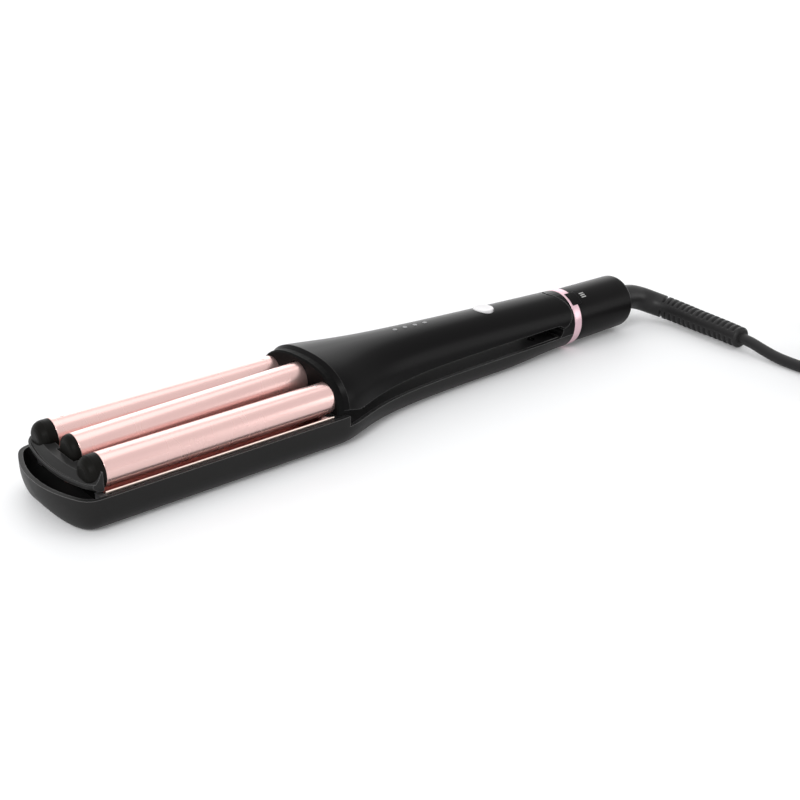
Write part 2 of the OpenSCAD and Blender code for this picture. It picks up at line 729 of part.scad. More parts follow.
module outer_cap(y) {
    color([0.08, 0.08, 0.08]) difference() {
        translate([barrel_front_s, y, barrel_z]) cap_shape(cap_head_l, cap_round);
        translate([barrel_screw_s[0], y, barrel_z + 2]) cylinder(h = 8, r = 0.6, $fn = 24);
        bridge_screw_holes();
    }
}
module barrel_cap_left() { outer_cap(outer_y[0]); }
module barrel_cap_right() { outer_cap(outer_y[1]); }

module barrel_screws() {
    color("silver") for (y = outer_y) for (s = barrel_screw_s) translate([s, y, barrel_z]) {
        translate([0, 0, barrel_r - 0.5]) cylinder(h = 0.7, r = 0.75, $fn = 24);
        translate([0, 0, barrel_r - barrel_t - 1.5]) cylinder(h = 2, r = 0.55, $fn = 24);
    }
}

// Bow-shaped end piece that joins the barrels: a lip below, a sloping face, and horns at both ends
bridge_half_w = 31.2;
bridge_front_s = 8;
bridge_bow = 3.6;        // how far the face falls back towards each end
bridge_end_w = 26.5;     // beyond this the ends round off
bridge_lip_z = 20;
bridge_low_z = 19;
bridge_top_z = 24.8;
bridge_rear_s = 18.5;
horn_rise = 3.2;
horn_y = [21, 27];       // the top climbs between these side positions
face_run = [4.4, 1.1];   // how far the face slopes back in the middle and at the horns

module bridge_body() {
    ys = rows(-bridge_half_w, bridge_half_w, 36);
    loft_across(ys, [for (y = ys)
        let (w = abs(y) / bridge_half_w,
            front = bridge_front_s + bridge_bow * w * w + 0.16 * pow(max(0, abs(y) - bridge_end_w), 2),
            lip = bridge_lip_z + 1.5 * w * w,
            end_drop = 0.1 * pow(max(0, abs(y) - 28), 2),
            horn = eased(share(abs(y), horn_y[0], horn_y[1])),
            run = lerp(face_run[0], face_run[1], horn),
            top = bridge_top_z + horn_rise * horn - end_drop)
        [[front + 0.5, lip - 0.6], [front, lip], [front, lip + 0.9], [front + 0.5, lip + 1.5],
         [front + 0.55 * run, lerp(lip + 1.5, top, 0.66)], [front + run, top - 0.4], [front + run + 0.8, top],
         [bridge_rear_s, top], [bridge_rear_s, bridge_low_z], [front + 3, bridge_low_z]]]);
}

module front_bridge() {
    color([0.16, 0.16, 0.17]) difference() {
        union() {
            bridge_body();
            box_between([pivot_s - 2.2, -8, pivot_z - 2.8], [bridge_rear_s, 8, pivot_z]);
        }
        // seats for the fixed barrels' caps
        for (y = outer_y) translate([barrel_front_s, y, barrel_z])
            cap_shape(cap_head_l + 0.04, cap_round, barrel_r + 0.04);
        // room for the middle barrel's cap and its tongue
        on_middle_axis() rod_x(-4.4, 20, barrel_r + 0.4);
        box_between([pivot_s - 2.6, -2.75, 0], [30, 2.75, pivot_z + 2.5]);
        rod_y(-8, 8, 1.24, pivot_s, pivot_z);
        bridge_screw_holes();
    }
}

module bridge_screw_holes() {
    for (y = outer_y) translate([bridge_screw_s, y, 0]) {
        cylinder(h = bridge_low_z + 0.9, r = 1.7);
        cylinder(h = bridge_low_z + 6, r = 0.85, $fn = 24);
    }
}

module bridge_screws() {
    color("silver") for (y = outer_y) translate([bridge_screw_s, y, bridge_low_z + 0.1]) {
        cylinder(h = 0.75, r = 1.55, $fn = 24);
        cylinder(h = 5.6, r = 0.75, $fn = 24);
    }
}

module pivot_pin() {
    color("silver") rod_y(-7.5, 7.5, 1.2, pivot_s, pivot_z);
}

module circuit_board() {
    color([0.1, 0.4, 0.2]) difference() {
        union() {
            box_between([197, -7, board_z], [281, 7, board_z + board_t]);
            box_between([232, -4, board_z + board_t - tiny], [243, 4, board_z + board_t + 1.6]);
            box_between([248, -5, board_z + board_t - tiny], [258, -1, board_z + board_t + 1.2]);
        }
        for (p = board_post_at) translate([p[0], p[1], board_z - 1]) cylinder(h = 4, r = 0.8, $fn = 24);
    }
}

module board_screws() {
    color("silver") for (p = board_post_at) translate([p[0], p[1], board_z + board_t]) {
        cylinder(h = 0.7, r = 1.2, $fn = 24);
        translate([0, 0, -4]) cylinder(h = 4 + tiny, r = 0.6, $fn = 24);
    }
}

switch_top_z = board_z + board_t + 0.9;

module push_switch() {
    color([0.2, 0.2, 0.2]) box_between([button_s - 3, -3, board_z + board_t], [button_s + 3, 3, switch_top_z]);
}

module led_lenses() {
    color([0.9, 0.9, 0.95]) for (s = led_s) translate([s, 0, board_z + board_t + 0.2])
        cylinder(h = crown_z(s) - board_z - board_t, r = 1.2, $fn = 24);
}

module barrel_wires() {
    color([0.8, 0.8, 0.8]) for (y = [-9, 9]) rod_x(160, 196, 0.9, y, 27);
}

/* ---- middle barrel, tilted about its pivot ---- */

module on_middle_axis() {
    translate([barrel_front_s, 0, middle_front_z]) rotate([0, -lift_angle, 0]) children();
}

module middle_barrel() {
    color([0.89, 0.72, 0.66]) on_middle_axis() difference() {
        rod_x(0, middle_rear_s - barrel_front_s, barrel_r);
        rod_x(-1, middle_rear_s, barrel_r - barrel_t);
    }
}

module middle_heater() {
    on_middle_axis() translate([-barrel_front_s, 0, 0]) heater_rod(0, 0);
}

module middle_cap() {
    color([0.08, 0.08, 0.08]) difference() {
        union() {
            on_middle_axis() cap_shape(4, 3.4);
            box_between([pivot_s - 2.1, -2.4, pivot_z - 2.1], [barrel_front_s - 1, 2.4, pivot_z + 2.1]);
        }
        rod_y(-9, 9, 1.25, pivot_s, pivot_z);
    }
}

module middle_tail() {
    color([0.3, 0.3, 0.3]) {
        on_middle_axis() rod_x(117, middle_rear_s - barrel_front_s, barrel_r - barrel_t - fit_gap);
        difference() {
            box_between([145, -3.6, roller_z - 2.6], [177, 3.6, roller_z + 2]);
            box_between([roller_s - 3, -2.2, 0], [180, 2.2, 60]);
            box_between([roller_s - 6, -9, 0], [180, 9, roller_z - 0.6]);
            rod_y(-9, 9, 0.82, roller_s, roller_z + 0.4);
        }
    }
}

module lift_roller() {
    color("silver") {
        rod_y(-2, 2, roller_r, roller_s, roller_z + 0.4);
        rod_y(-3.5, 3.5, 0.8, roller_s, roller_z + 0.4);
    }
}

wedge_slope = 0.465;
wedge_rise = roller_z + 0.4 - (roller_r + run_gap) * sqrt(1 + wedge_slope * wedge_slope);
wedge_low_z = slot_high_z + cover_t + 0.5;

module push_rod() {
    front = roller_s - rod_travel - 3;
    rear = roller_s + 4;
    color([0.75, 0.75, 0.72]) {
        across(3.6) polygon([
            [front, wedge_low_z],
            [front, wedge_rise + wedge_slope * (front - roller_s)],
            [rear, wedge_rise + wedge_slope * (rear - roller_s)],
            [rear + 4, wedge_rise + wedge_slope * (rear - roller_s)],
            [rear + 4, wedge_low_z]]);
        box_between([rear + 3, -2, rod_z - rod_r], [hinge_s - 8, 2, rod_z + rod_r]);
        rod_x(hinge_s - 8.5, hinge_s + 0.6, rod_r - 0.05, 0, rod_z);
    }
}

module power_button() {
    top = crown_z(button_s) + 0.6;
    color([0.88, 0.88, 0.88]) {
        translate([button_s, 0, top - 3.4]) cylinder(h = 3.4, r = button_r);
        translate([button_s, 0, switch_top_z + 0.7]) cylinder(h = top - 3.3 - switch_top_z - 0.7, r = 1.5);
    }
}

/* ---- cord ---- */

module strain_relief() {
    n = len(relief_points);
    color([0.09, 0.09, 0.1]) sweep(relief_points, [for (i = [0 : n - 1]) lerp(7.6, 6.3, i / (n - 1))], 16);
}

module cord_lead() {
    color([0.09, 0.09, 0.1]) sweep(lead_points, [for (p = lead_points) cord_d / 2], 10);
}

module cord_tail() {
    color([0.09, 0.09, 0.1]) sweep(tail_points, [for (p = tail_points) cord_d / 2], 10);
}

module cord_coil() {
    round = 6;
    color([0.09, 0.09, 0.1]) translate([coil_centre[0], coil_centre[1], 0]) rotate_extrude($fn = 64)
        polygon([for (c = [[1, 1], [-1, 1], [-1, -1], [1, -1]]) for (i = [0 : 4])
            let (q = c[0] * c[1] > 0 ? i : 4 - i, a = 22.5 * q)
            [coil_d / 2 + c[0] * (coil_half_w - round + round * cos(a)),
             coil_h / 2 + c[1] * (coil_h / 2 - round + round * sin(a))]]);
}

module plug_body() {
    color([0.09, 0.09, 0.1]) translate(plug_at) rotate([-90, 0, 0]) linear_extrude(height = plug_l) {
        square([17, 12.6], center = true);
        for (x = [-8.5, 8.5]) translate([x, 0]) circle(r = 6.3);
    }
}

module plug_pins() {
    color("silver") for (x = [-9.5, 9.5])
        translate([plug_at[0] + x, plug_at[1] + plug_l, plug_at[2]]) rotate([-90, 0, 0]) {
            cylinder(h = 18, r = 2);
            translate([0, 0, 18]) sphere(r = 2);
        }
}

seated() lower_casing();
seated() lower_inner_cover();
seated() lower_cover_screws();
seated() wave_plate();
seated() plate_clips();
seated() plate_carrier();
seated() plate_heater();
seated() plate_cushions();
seated() plate_wires();
seated() hinge_block();
seated() core_tube();
seated() hinge_pins();
seated() hinge_springs();
seated() swivel_socket();
seated() swivel_ball();
seated() detent_ball();
seated() trim_ring();
seated() selector_dial();
seated() dial_mark();
seated() cam_plunger();
seated() upper_casing();
seated() upper_inner_cover();
seated() upper_cover_screws();
seated() barrel_collar();
seated() barrel_carrier();
seated() outer_barrel_left();
seated() outer_barrel_right();
seated() barrel_heater_left();
seated() barrel_heater_right();
seated() barrel_cap_left();
seated() barrel_cap_right();
seated() barrel_screws();
seated() front_bridge();
seated() bridge_screws();
seated() pivot_pin();
seated() circuit_board();
seated() board_screws();
seated() push_switch();
seated() led_lenses();
seated() barrel_wires();
seated() middle_barrel();
seated() middle_heater();
seated() middle_cap();
seated() middle_tail();
seated() lift_roller();
seated() push_rod();
seated() power_button();
strain_relief();
cord_lead();
cord_coil();
cord_tail();
plug_body();
plug_pins();
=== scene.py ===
import math

import bmesh
import bpy
from mathutils import Matrix, Vector


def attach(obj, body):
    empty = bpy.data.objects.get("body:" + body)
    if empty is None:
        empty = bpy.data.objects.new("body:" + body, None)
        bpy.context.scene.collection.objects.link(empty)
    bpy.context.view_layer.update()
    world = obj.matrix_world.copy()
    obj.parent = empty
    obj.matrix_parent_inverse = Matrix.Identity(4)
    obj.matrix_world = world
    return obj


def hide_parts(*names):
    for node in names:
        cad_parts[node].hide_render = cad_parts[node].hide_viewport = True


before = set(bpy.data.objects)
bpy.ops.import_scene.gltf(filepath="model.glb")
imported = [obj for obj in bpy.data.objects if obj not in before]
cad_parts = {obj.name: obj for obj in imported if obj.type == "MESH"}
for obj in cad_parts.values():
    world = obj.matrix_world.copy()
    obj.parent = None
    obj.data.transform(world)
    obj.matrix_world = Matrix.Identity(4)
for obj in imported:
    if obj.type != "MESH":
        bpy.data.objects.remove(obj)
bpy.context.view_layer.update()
scene = bpy.context.scene
print("frame loaded")

cameraSet = {
    "azimuth": 40.374,  # degrees from +Y towards +X
    "elevation": 23.838,
    "roll": 0.505,
    "place": (-0.37757, -0.46523, 0.26716),
    "lens": 55.22,
    "sensor": 36,
    "nearest": 0.01,
}


def makeCamera(values):
    data = bpy.data.cameras.new("photoCamera")
    data.lens = values["lens"]
    data.sensor_width = values["sensor"]
    data.clip_start = values["nearest"]
    cam = bpy.data.objects.new("photoCamera", data)
    turn = (
        Matrix.Rotation(-math.radians(values["azimuth"]), 4, "Z")
        @ Matrix.Rotation(math.pi / 2 - math.radians(values["elevation"]), 4, "X")
        @ Matrix.Rotation(math.radians(values["roll"]), 4, "Z")
    )
    cam.matrix_world = Matrix.Translation(values["place"]) @ turn
    scene.collection.objects.link(cam)
    scene.camera = cam


makeCamera(cameraSet)
scene.view_settings.view_transform = "Standard"

lampSet = {
    "lamps": [  # name, place, power in W, size
        ("frontLamp", (-1.05, -0.64, 0.88), 11.0, 0.5),
        ("topLamp", (0.1, 0.15, 1.45), 4.2, 1.2),
        ("nearLamp", (1.1, -1.1, 0.33), 3.6, 0.6),
        ("backLamp", (0.75, 1.05, 0.5), 7.0, 1.3),
    ],
    "aim": (-0.02, 0.0, 0.02),
    "skyStrength": 0.53,  # as a light; where it is seen it is white
}


def areaLamp(name, place, power, size, aim):
    data = bpy.data.lights.new(name, "AREA")
    data.energy = power
    data.size = size
    lamp = bpy.data.objects.new(name, data)
    lamp.location = place
    lamp.rotation_euler = (Vector(aim) - Vector(place)).to_track_quat("-Z", "Y").to_euler()
    scene.collection.objects.link(lamp)


for lampName, lampPlace, lampPower, lampSize in lampSet["lamps"]:
    areaLamp(lampName, lampPlace, lampPower, lampSize, lampSet["aim"])


def mathNode(tree, kind, a, b=None):
    node = tree.nodes.new("ShaderNodeMath")
    node.operation = kind
    for i, v in enumerate((a, b)):
        if v is None:
            continue
        if isinstance(v, (int, float)):
            node.inputs[i].default_value = v
        else:
            tree.links.new(v, node.inputs[i])
    return node.outputs[0]


def shownRays(tree):
    # One for what the camera sees straight on, in gloss and through glass
    path = tree.nodes.new("ShaderNodeLightPath")
    mirrored = mathNode(tree, "MAXIMUM", path.outputs["Is Camera Ray"], path.outputs["Is Glossy Ray"])
    return mathNode(tree, "MAXIMUM", mirrored, path.outputs["Is Transmission Ray"])


def makeWorld(values):
    # White where it is looked at or mirrored, softer as a light
    world = bpy.data.worlds.new("studio")
    world.use_nodes = True
    scene.world = world
    tree = world.node_tree
    tree.nodes.clear()
    level = tree.nodes.new("ShaderNodeMapRange")
    level.inputs["To Min"].default_value = values["skyStrength"]
    level.inputs["To Max"].default_value = 1.0
    tree.links.new(shownRays(tree), level.inputs["Value"])
    sky = tree.nodes.new("ShaderNodeBackground")
    sky.inputs["Color"].default_value = (1, 1, 1, 1)
    tree.links.new(level.outputs[0], sky.inputs["Strength"])
    out = tree.nodes.new("ShaderNodeOutputWorld")
    tree.links.new(sky.outputs[0], out.inputs["Surface"])


makeWorld(lampSet)
print("camera and lamps ready")


def newGroup(name, inputs, outputs):
    tree = bpy.data.node_groups.new(name, "ShaderNodeTree")
    for label, value in inputs:
        socket = tree.interface.new_socket(label, in_out="INPUT", socket_type="NodeSocketFloat")
        socket.default_value = value
    for label in outputs:
        tree.interface.new_socket(label, in_out="OUTPUT", socket_type="NodeSocketFloat")
    return tree, tree.nodes.new("NodeGroupInput"), tree.nodes.new("NodeGroupOutput")


def grainGroup():
    # Fine moulded grain and a slow change of tone; Stretch lengthens both along the tool
    tree, into, out = newGroup(
        "mouldGrain", [("Scale", 900.0), ("Stretch", 1.0), ("Patch", 18.0)], ["Height", "Tone"]
    )
    coord = tree.nodes.new("ShaderNodeTexCoord")
    apart = tree.nodes.new("ShaderNodeSeparateXYZ")
    tree.links.new(coord.outputs["Object"], apart.inputs[0])
    along = mathNode(tree, "DIVIDE", apart.outputs["X"], into.outputs["Stretch"])
    joined = tree.nodes.new("ShaderNodeCombineXYZ")
    tree.links.new(along, joined.inputs["X"])
    tree.links.new(apart.outputs["Y"], joined.inputs["Y"])
    tree.links.new(apart.outputs["Z"], joined.inputs["Z"])
    fine = tree.nodes.new("ShaderNodeTexNoise")
    fine.inputs["Detail"].default_value = 2.0
    tree.links.new(joined.outputs[0], fine.inputs["Vector"])
    tree.links.new(into.outputs["Scale"], fine.inputs["Scale"])
    slow = tree.nodes.new("ShaderNodeTexNoise")
    slow.inputs["Detail"].default_value = 3.0
    tree.links.new(joined.outputs[0], slow.inputs["Vector"])
    tree.links.new(into.outputs["Patch"], slow.inputs["Scale"])
    tree.links.new(fine.outputs["Fac"], out.inputs["Height"])
    tree.links.new(slow.outputs["Fac"], out.inputs["Tone"])
    return tree


edgeSamples = 6


def edgeGroup():
    # White where the surface turns sharply within Radius, the mask for a painted edge highlight
    tree, into, out = newGroup("edgeCatch", [("Radius", 0.0006), ("Gain", 3.0)], ["Edge"])
    bevel = tree.nodes.new("ShaderNodeBevel")
    bevel.samples = edgeSamples
    tree.links.new(into.outputs["Radius"], bevel.inputs["Radius"])
    shape = tree.nodes.new("ShaderNodeNewGeometry")
    dot = tree.nodes.new("ShaderNodeVectorMath")
    dot.operation = "DOT_PRODUCT"
    tree.links.new(bevel.outputs[0], dot.inputs[0])
    tree.links.new(shape.outputs["Normal"], dot.inputs[1])
    bent = mathNode(tree, "SUBTRACT", 1.0, dot.outputs["Value"])
    gain = mathNode(tree, "MULTIPLY", bent, into.outputs["Gain"])
    kept = mathNode(tree, "MINIMUM", gain, 1.0)
    tree.links.new(kept, out.inputs["Edge"])
    return tree


grain = grainGroup()
edgeCatch = edgeGroup()
print("shader groups ready")

# Gloss is the specular level, bump the strength of the grain, edge how far sharp edges pale with a painted
# highlight
finishes = {
    "shellSatin": {
        "colour": (0.0042, 0.0040, 0.0042), "rough": 0.30, "gloss": 0.05,
        "grainScale": 1500, "bump": 0.02, "edge": 0.22,
    },
    "traySatin": {
        "colour": (0.0147, 0.0144, 0.0143), "rough": 0.40, "gloss": 0.09,
        "grainScale": 1300, "bump": 0.05, "edge": 0.30,
    },
    "coverMatt": {
        "colour": (0.010, 0.0095, 0.010), "rough": 0.55, "gloss": 0.08,
        "grainScale": 1200, "bump": 0.06, "edge": 0.03,
    },
    "collarMatt": {
        "colour": (0.0035, 0.0035, 0.0035), "rough": 0.55, "gloss": 0.04,
        "grainScale": 1100, "bump": 0.08, "edge": 0.01,
    },
    "capMatt": {
        "colour": (0.0059, 0.0056, 0.0049), "rough": 0.40, "gloss": 0.05,
        "grainScale": 1100, "bump": 0.05, "edge": 0.06,
    },
    "bridgeSatin": {
        "colour": (0.0196, 0.0194, 0.0192), "rough": 0.38, "gloss": 0.10,
        "grainScale": 1200, "bump": 0.04, "edge": 0.24,
    },
    "dialSatin": {
        "colour": (0.005, 0.0047, 0.0049), "rough": 0.32, "gloss": 0.05,
        "grainScale": 1500, "bump": 0.03, "edge": 0.05,
    },
    "coreGrey": {
        "colour": (0.10, 0.10, 0.105), "rough": 0.5, "gloss": 0.5,
        "grainScale": 900, "bump": 0.05, "edge": 0.05,
    },
    "acetal": {
        "colour": (0.66, 0.65, 0.61), "rough": 0.42, "gloss": 0.5,
        "grainScale": 900, "bump": 0.03, "edge": 0.05,
    },
    "silicone": {
        "colour": (0.06, 0.022, 0.02), "rough": 0.6, "gloss": 0.5,
        "grainScale": 700, "bump": 0.05, "edge": 0.05,
    },
    "boardGreen": {
        "colour": (0.03, 0.14, 0.06), "rough": 0.4, "gloss": 0.5,
        "grainScale": 600, "bump": 0.05, "edge": 0.1,
    },
    "switchBlack": {
        "colour": (0.02, 0.02, 0.02), "rough": 0.45, "gloss": 0.5,
        "grainScale": 900, "bump": 0.03, "edge": 0.05,
    },
    "wireSleeve": {
        "colour": (0.62, 0.61, 0.57), "rough": 0.8, "gloss": 0.3,
        "grainScale": 1600, "bump": 0.3, "edge": 0.0,
    },
    "cordRubber": {
        "colour": (0.0160, 0.0156, 0.0160), "rough": 0.40, "gloss": 0.20,
        "grainScale": 1400, "bump": 0.05, "edge": 0.08,
    },
    "plugMoulded": {
        "colour": (0.012, 0.012, 0.012), "rough": 0.42, "gloss": 0.14,
        "grainScale": 1200, "bump": 0.05, "edge": 0.06,
    },
    "markWhite": {
        "colour": (0.40, 0.40, 0.39), "rough": 0.5, "gloss": 0.5,
        "grainScale": 900, "bump": 0.02, "edge": 0.0,
    },
    "buttonWhite": {
        "colour": (0.66, 0.65, 0.66), "rough": 0.26, "gloss": 0.5,
        "grainScale": 900, "bump": 0.01, "edge": 0.0,
    },
}

# Tone wanders between colour and tint; stretch draws the grain out along the tool
metals = {
    "roseBarrel": {
        "colour": (0.72, 0.485, 0.46), "tint": (0.75, 0.52, 0.49), "metal": 0.86,
        "rough": 0.27, "grainScale": 500, "stretch": 0.35, "bump": 0.02,
    },
    "roseRing": {
        "colour": (0.68, 0.455, 0.51), "tint": (0.71, 0.49, 0.55), "metal": 0.50,
        "rough": 0.36, "grainScale": 400, "stretch": 1.0, "bump": 0.01,
    },
    "brightSteel": {
        "colour": (0.70, 0.70, 0.71), "tint": (0.62, 0.62, 0.63), "metal": 1.00,
        "rough": 0.22, "grainScale": 500, "stretch": 1.0, "bump": 0.02,
    },
    "pressedSteel": {
        "colour": (0.52, 0.52, 0.53), "tint": (0.45, 0.45, 0.46), "metal": 1.00,
        "rough": 0.42, "grainScale": 600, "stretch": 6.0, "bump": 0.05,
    },
    "millAluminium": {
        "colour": (0.72, 0.72, 0.71), "tint": (0.66, 0.66, 0.66), "metal": 1.00,
        "rough": 0.38, "grainScale": 500, "stretch": 10.0, "bump": 0.05,
    },
    "pinBrass": {
        "colour": (0.74, 0.70, 0.62), "tint": (0.66, 0.60, 0.50), "metal": 1.00,
        "rough": 0.25, "grainScale": 400, "stretch": 1.0, "bump": 0.02,
    },
}


def startMaterial(name):
    mat = bpy.data.materials.new(name)
    mat.use_nodes = True
    tree = mat.node_tree
    return mat, tree, tree.nodes["Principled BSDF"]


grainSet = {
    "depth": 0.0004,  # metres
    "roughSpread": 0.12,
    "darkTone": 0.88,
    "lightTone": 1.14,
    # share of a finish's edge value that the painted edge highlight adds
    "edgeHighlightShare": 0.5,
}


def placeGrain(tree, shader, values, stretch=1.0):
    made = tree.nodes.new("ShaderNodeGroup")
    made.node_tree = grain
    made.inputs["Scale"].default_value = values["grainScale"]
    made.inputs["Stretch"].default_value = stretch
    bump = tree.nodes.new("ShaderNodeBump")
    bump.inputs["Strength"].default_value = values["bump"]
    bump.inputs["Distance"].default_value = grainSet["depth"]
    tree.links.new(made.outputs["Height"], bump.inputs["Height"])
    tree.links.new(bump.outputs[0], shader.inputs["Normal"])
    rough = tree.nodes.new("ShaderNodeMapRange")
    rough.inputs["To Min"].default_value = values["rough"] * (1 - grainSet["roughSpread"])
    rough.inputs["To Max"].default_value = values["rough"] * (1 + grainSet["roughSpread"])
    tree.links.new(made.outputs["Tone"], rough.inputs["Value"])
    tree.links.new(rough.outputs[0], shader.inputs["Roughness"])
    return made


def mixColours(tree, factor, first, second):
    mix = tree.nodes.new("ShaderNodeMix")
    mix.data_type = "RGBA"
    tree.links.new(factor, mix.inputs["Factor"])
    for socket, value in ((mix.inputs["A"], first), (mix.inputs["B"], second)):
        if isinstance(value, tuple):
            socket.default_value = (*value[:3], 1)
        else:
            tree.links.new(value, socket)
    return mix.outputs["Result"]


def plasticFinish(name, values):
    mat, tree, shader = startMaterial(name)
    shader.inputs["Specular IOR Level"].default_value = values["gloss"]
    made = placeGrain(tree, shader, values)
    dark = tuple(c * grainSet["darkTone"] for c in values["colour"])
    light = tuple(c * grainSet["lightTone"] for c in values["colour"])
    colour = mixColours(tree, made.outputs["Tone"], dark, light)
    if values["edge"]:
        catch = tree.nodes.new("ShaderNodeGroup")
        catch.node_tree = edgeCatch
        # Painted highlight: sharp edges paled towards white
        paleEdgeHighlight = tuple(min(1.0, c + values["edge"] * grainSet["edgeHighlightShare"]) for c in values["colour"])
        colour = mixColours(tree, catch.outputs["Edge"], colour, paleEdgeHighlight)
    tree.links.new(colour, shader.inputs["Base Color"])
    return mat


def metalFinish(name, values):
    mat, tree, shader = startMaterial(name)
    made = placeGrain(tree, shader, values, values["stretch"])
    colour = mixColours(tree, made.outputs["Tone"], values["colour"], values["tint"])
    tree.links.new(colour, shader.inputs["Base Color"])
    shader.inputs["Metallic"].default_value = values["metal"]
    return mat


looks = {name: plasticFinish(name, values) for name, values in finishes.items()}
looks.update({name: metalFinish(name, values) for name, values in metals.items()})


lensLook = {
    "colour": (0.20, 0.20, 0.21),
    "tint": (0.27, 0.27, 0.28),
    "through": 0.3,
    "rough": 0.4,
    "grainScale": 900,
    "bump": 0.05,
}


def lensFinish(values):
    mat, tree, shader = startMaterial("frostedLens")
    made = placeGrain(tree, shader, values)
    colour = mixColours(tree, made.outputs["Tone"], values["colour"], values["tint"])
    tree.links.new(colour, shader.inputs["Base Color"])
    shader.inputs["Transmission Weight"].default_value = values["through"]
    return mat


looks["frostedLens"] = lensFinish(lensLook)


def plateFinish(values):
    # Rose darkened with painted shade in the valleys and a painted highlight along both edges
    mat, tree, shader = startMaterial("plateRosePaintedLight")
    made = placeGrain(tree, shader, values, values["stretch"])
    coord = tree.nodes.new("ShaderNodeTexCoord")
    apart = tree.nodes.new("ShaderNodeSeparateXYZ")
    tree.links.new(coord.outputs["Object"], apart.inputs[0])
    side = mathNode(tree, "ABSOLUTE", apart.outputs["Y"])
    rim = tree.nodes.new("ShaderNodeMapRange")
    rim.inputs["From Min"].default_value = values["edgeFrom"]
    rim.inputs["From Max"].default_value = values["edgeTo"]
    tree.links.new(side, rim.inputs["Value"])
    body = mixColours(tree, made.outputs["Tone"], values["colour"], values["tint"])
    # Painted highlight: the pale edge colour along both edges, over rose darkened with painted shade
    colour = mixColours(tree, rim.outputs[0], body, values["edge"])
    tree.links.new(colour, shader.inputs["Base Color"])
    shader.inputs["Metallic"].default_value = 1.0
    return mat


plateLook = {
    # colour and tint are rose darkened with painted shade; edge is the colour of a painted highlight
    "colour": (0.50, 0.21, 0.18),
    "tint": (0.57, 0.26, 0.22),
    "edge": (0.98, 0.82, 0.74),
    "edgeFrom": 0.0299,  # metres from the middle
    "edgeTo": 0.0304,
    "rough": 0.3,
    "grainScale": 500,
    "stretch": 8.0,
    "bump": 0.02,
}
looks["plateRosePaintedLight"] = plateFinish(plateLook)
print("finishes ready:", len(looks))

# Which finish each solid of the frame wears
nodeLooks = {
    "lower_casing": "traySatin",
    "lower_inner_cover": "coverMatt",
    "lower_cover_screws": "brightSteel",
    "wave_plate": "plateRosePaintedLight",
    "plate_clips": "pressedSteel",
    "plate_carrier": "collarMatt",
    "plate_heater": "millAluminium",
    "plate_cushions": "silicone",
    "plate_wires": "wireSleeve",
    "hinge_block": "shellSatin",
    "core_tube": "coreGrey",
    "hinge_pins": "brightSteel",
    "hinge_springs": "brightSteel",
    "swivel_socket": "coreGrey",
    "swivel_ball": "cordRubber",
    "detent_ball": "brightSteel",
    "trim_ring": "roseRing",
    "selector_dial": "dialSatin",
    "dial_mark": "markWhite",
    "cam_plunger": "acetal",
    "upper_casing": "shellSatin",
    "upper_inner_cover": "coverMatt",
    "upper_cover_screws": "brightSteel",
    "barrel_collar": "collarMatt",
    "barrel_carrier": "pressedSteel",
    "outer_barrel_left": "roseBarrel",
    "outer_barrel_right": "roseBarrel",
    "barrel_heater_left": "millAluminium",
    "barrel_heater_right": "millAluminium",
    "barrel_cap_left": "capMatt",
    "barrel_cap_right": "capMatt",
    "barrel_screws": "brightSteel",
    "front_bridge": "bridgeSatin",
    "bridge_screws": "brightSteel",
    "pivot_pin": "brightSteel",
    "circuit_board": "boardGreen",
    "board_screws": "brightSteel",
    "push_switch": "switchBlack",
    "led_lenses": "frostedLens",
    "barrel_wires": "wireSleeve",
    "middle_barrel": "roseBarrel",
    "middle_heater": "millAluminium",
    "middle_cap": "capMatt",
    "middle_tail": "pressedSteel",
    "lift_roller": "brightSteel",
    "push_rod": "acetal",
    "power_button": "buttonWhite",
    "strain_relief": "cordRubber",
    "cord_lead": "cordRubber",
    "cord_coil": "cordRubber",
    "cord_tail": "cordRubber",
    "plug_body": "plugMoulded",
    "plug_pins": "pinBrass",
}
for nodeName, look in nodeLooks.items():
    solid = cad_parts[nodeName]
    solid.data.materials.clear()
    solid.data.materials.append(looks[look])

# Values shared with the part's source, in millimetres
tool = {
    "length": 384.0,
    "mouthHalf": 35.0,
    "crownFront": 41.5,
    "ringDiameter": 34.0,
    "mouthAt": 147.0,
    "ringAt": 329.6,
    "flareAt": 145.0,
    "flareRun": 31.0,
    "waistFront": 18.0,
    "powerFront": 2.4,
    "powerRear": 2.0,
    "bellyRound": 11.0,
    "bellyBlendAt": 275.0,
    "sideLeast": 0.3,
    "roundLeast": 0.2,
    "noseRadius": 67.0,
    "noseCorner": 9.0,
    "noseLift": 13.0,
    "tipShift": 0.1,
    "rimHeight": 17.5,
    "wall": 2.2,
    "slotFront": 149.0,
    "slotRear": 320.0,
    "slotFull": 215.0,
    "slotMouth": 18.4,
    "mouthCorner": 21.0,
    "slotLow": 12.0,
    "slotHigh": 20.0,
    "hingeAt": 320.0,
    "hingeHeight": 26.0,
    "discRadius": 8.2,
    "buttonAt": 270.5,
}
mmPerM = 1000
ringRadius = tool["ringDiameter"] / 2
slotRound = (tool["slotHigh"] - tool["slotLow"]) / 2


def at(s, y, z):
    # A point in metres from its station, side and height
    return Vector(((s - tool["length"] / 2) / mmPerM, y / mmPerM, z / mmPerM))


def lerp(a, b, u):
    return a + (b - a) * u


def share(s, start, end):
    # Nought up to start, one from end on
    return min(1.0, max(0.0, (s - start) / (end - start)))


def eased(u):
    return u * u * (3 - 2 * u)


def bell(s):
    # One at the mouth, falling towards the handle
    return 1 / (1 + (max(0.0, s - tool["flareAt"]) / tool["flareRun"]) ** 2)


def handleHalf(s):
    # Half width from the tray's straight sides to the ring
    foot = bell(tool["ringAt"])
    return ringRadius + (tool["mouthHalf"] - ringRadius) * (bell(s) - foot) / (1 - foot)


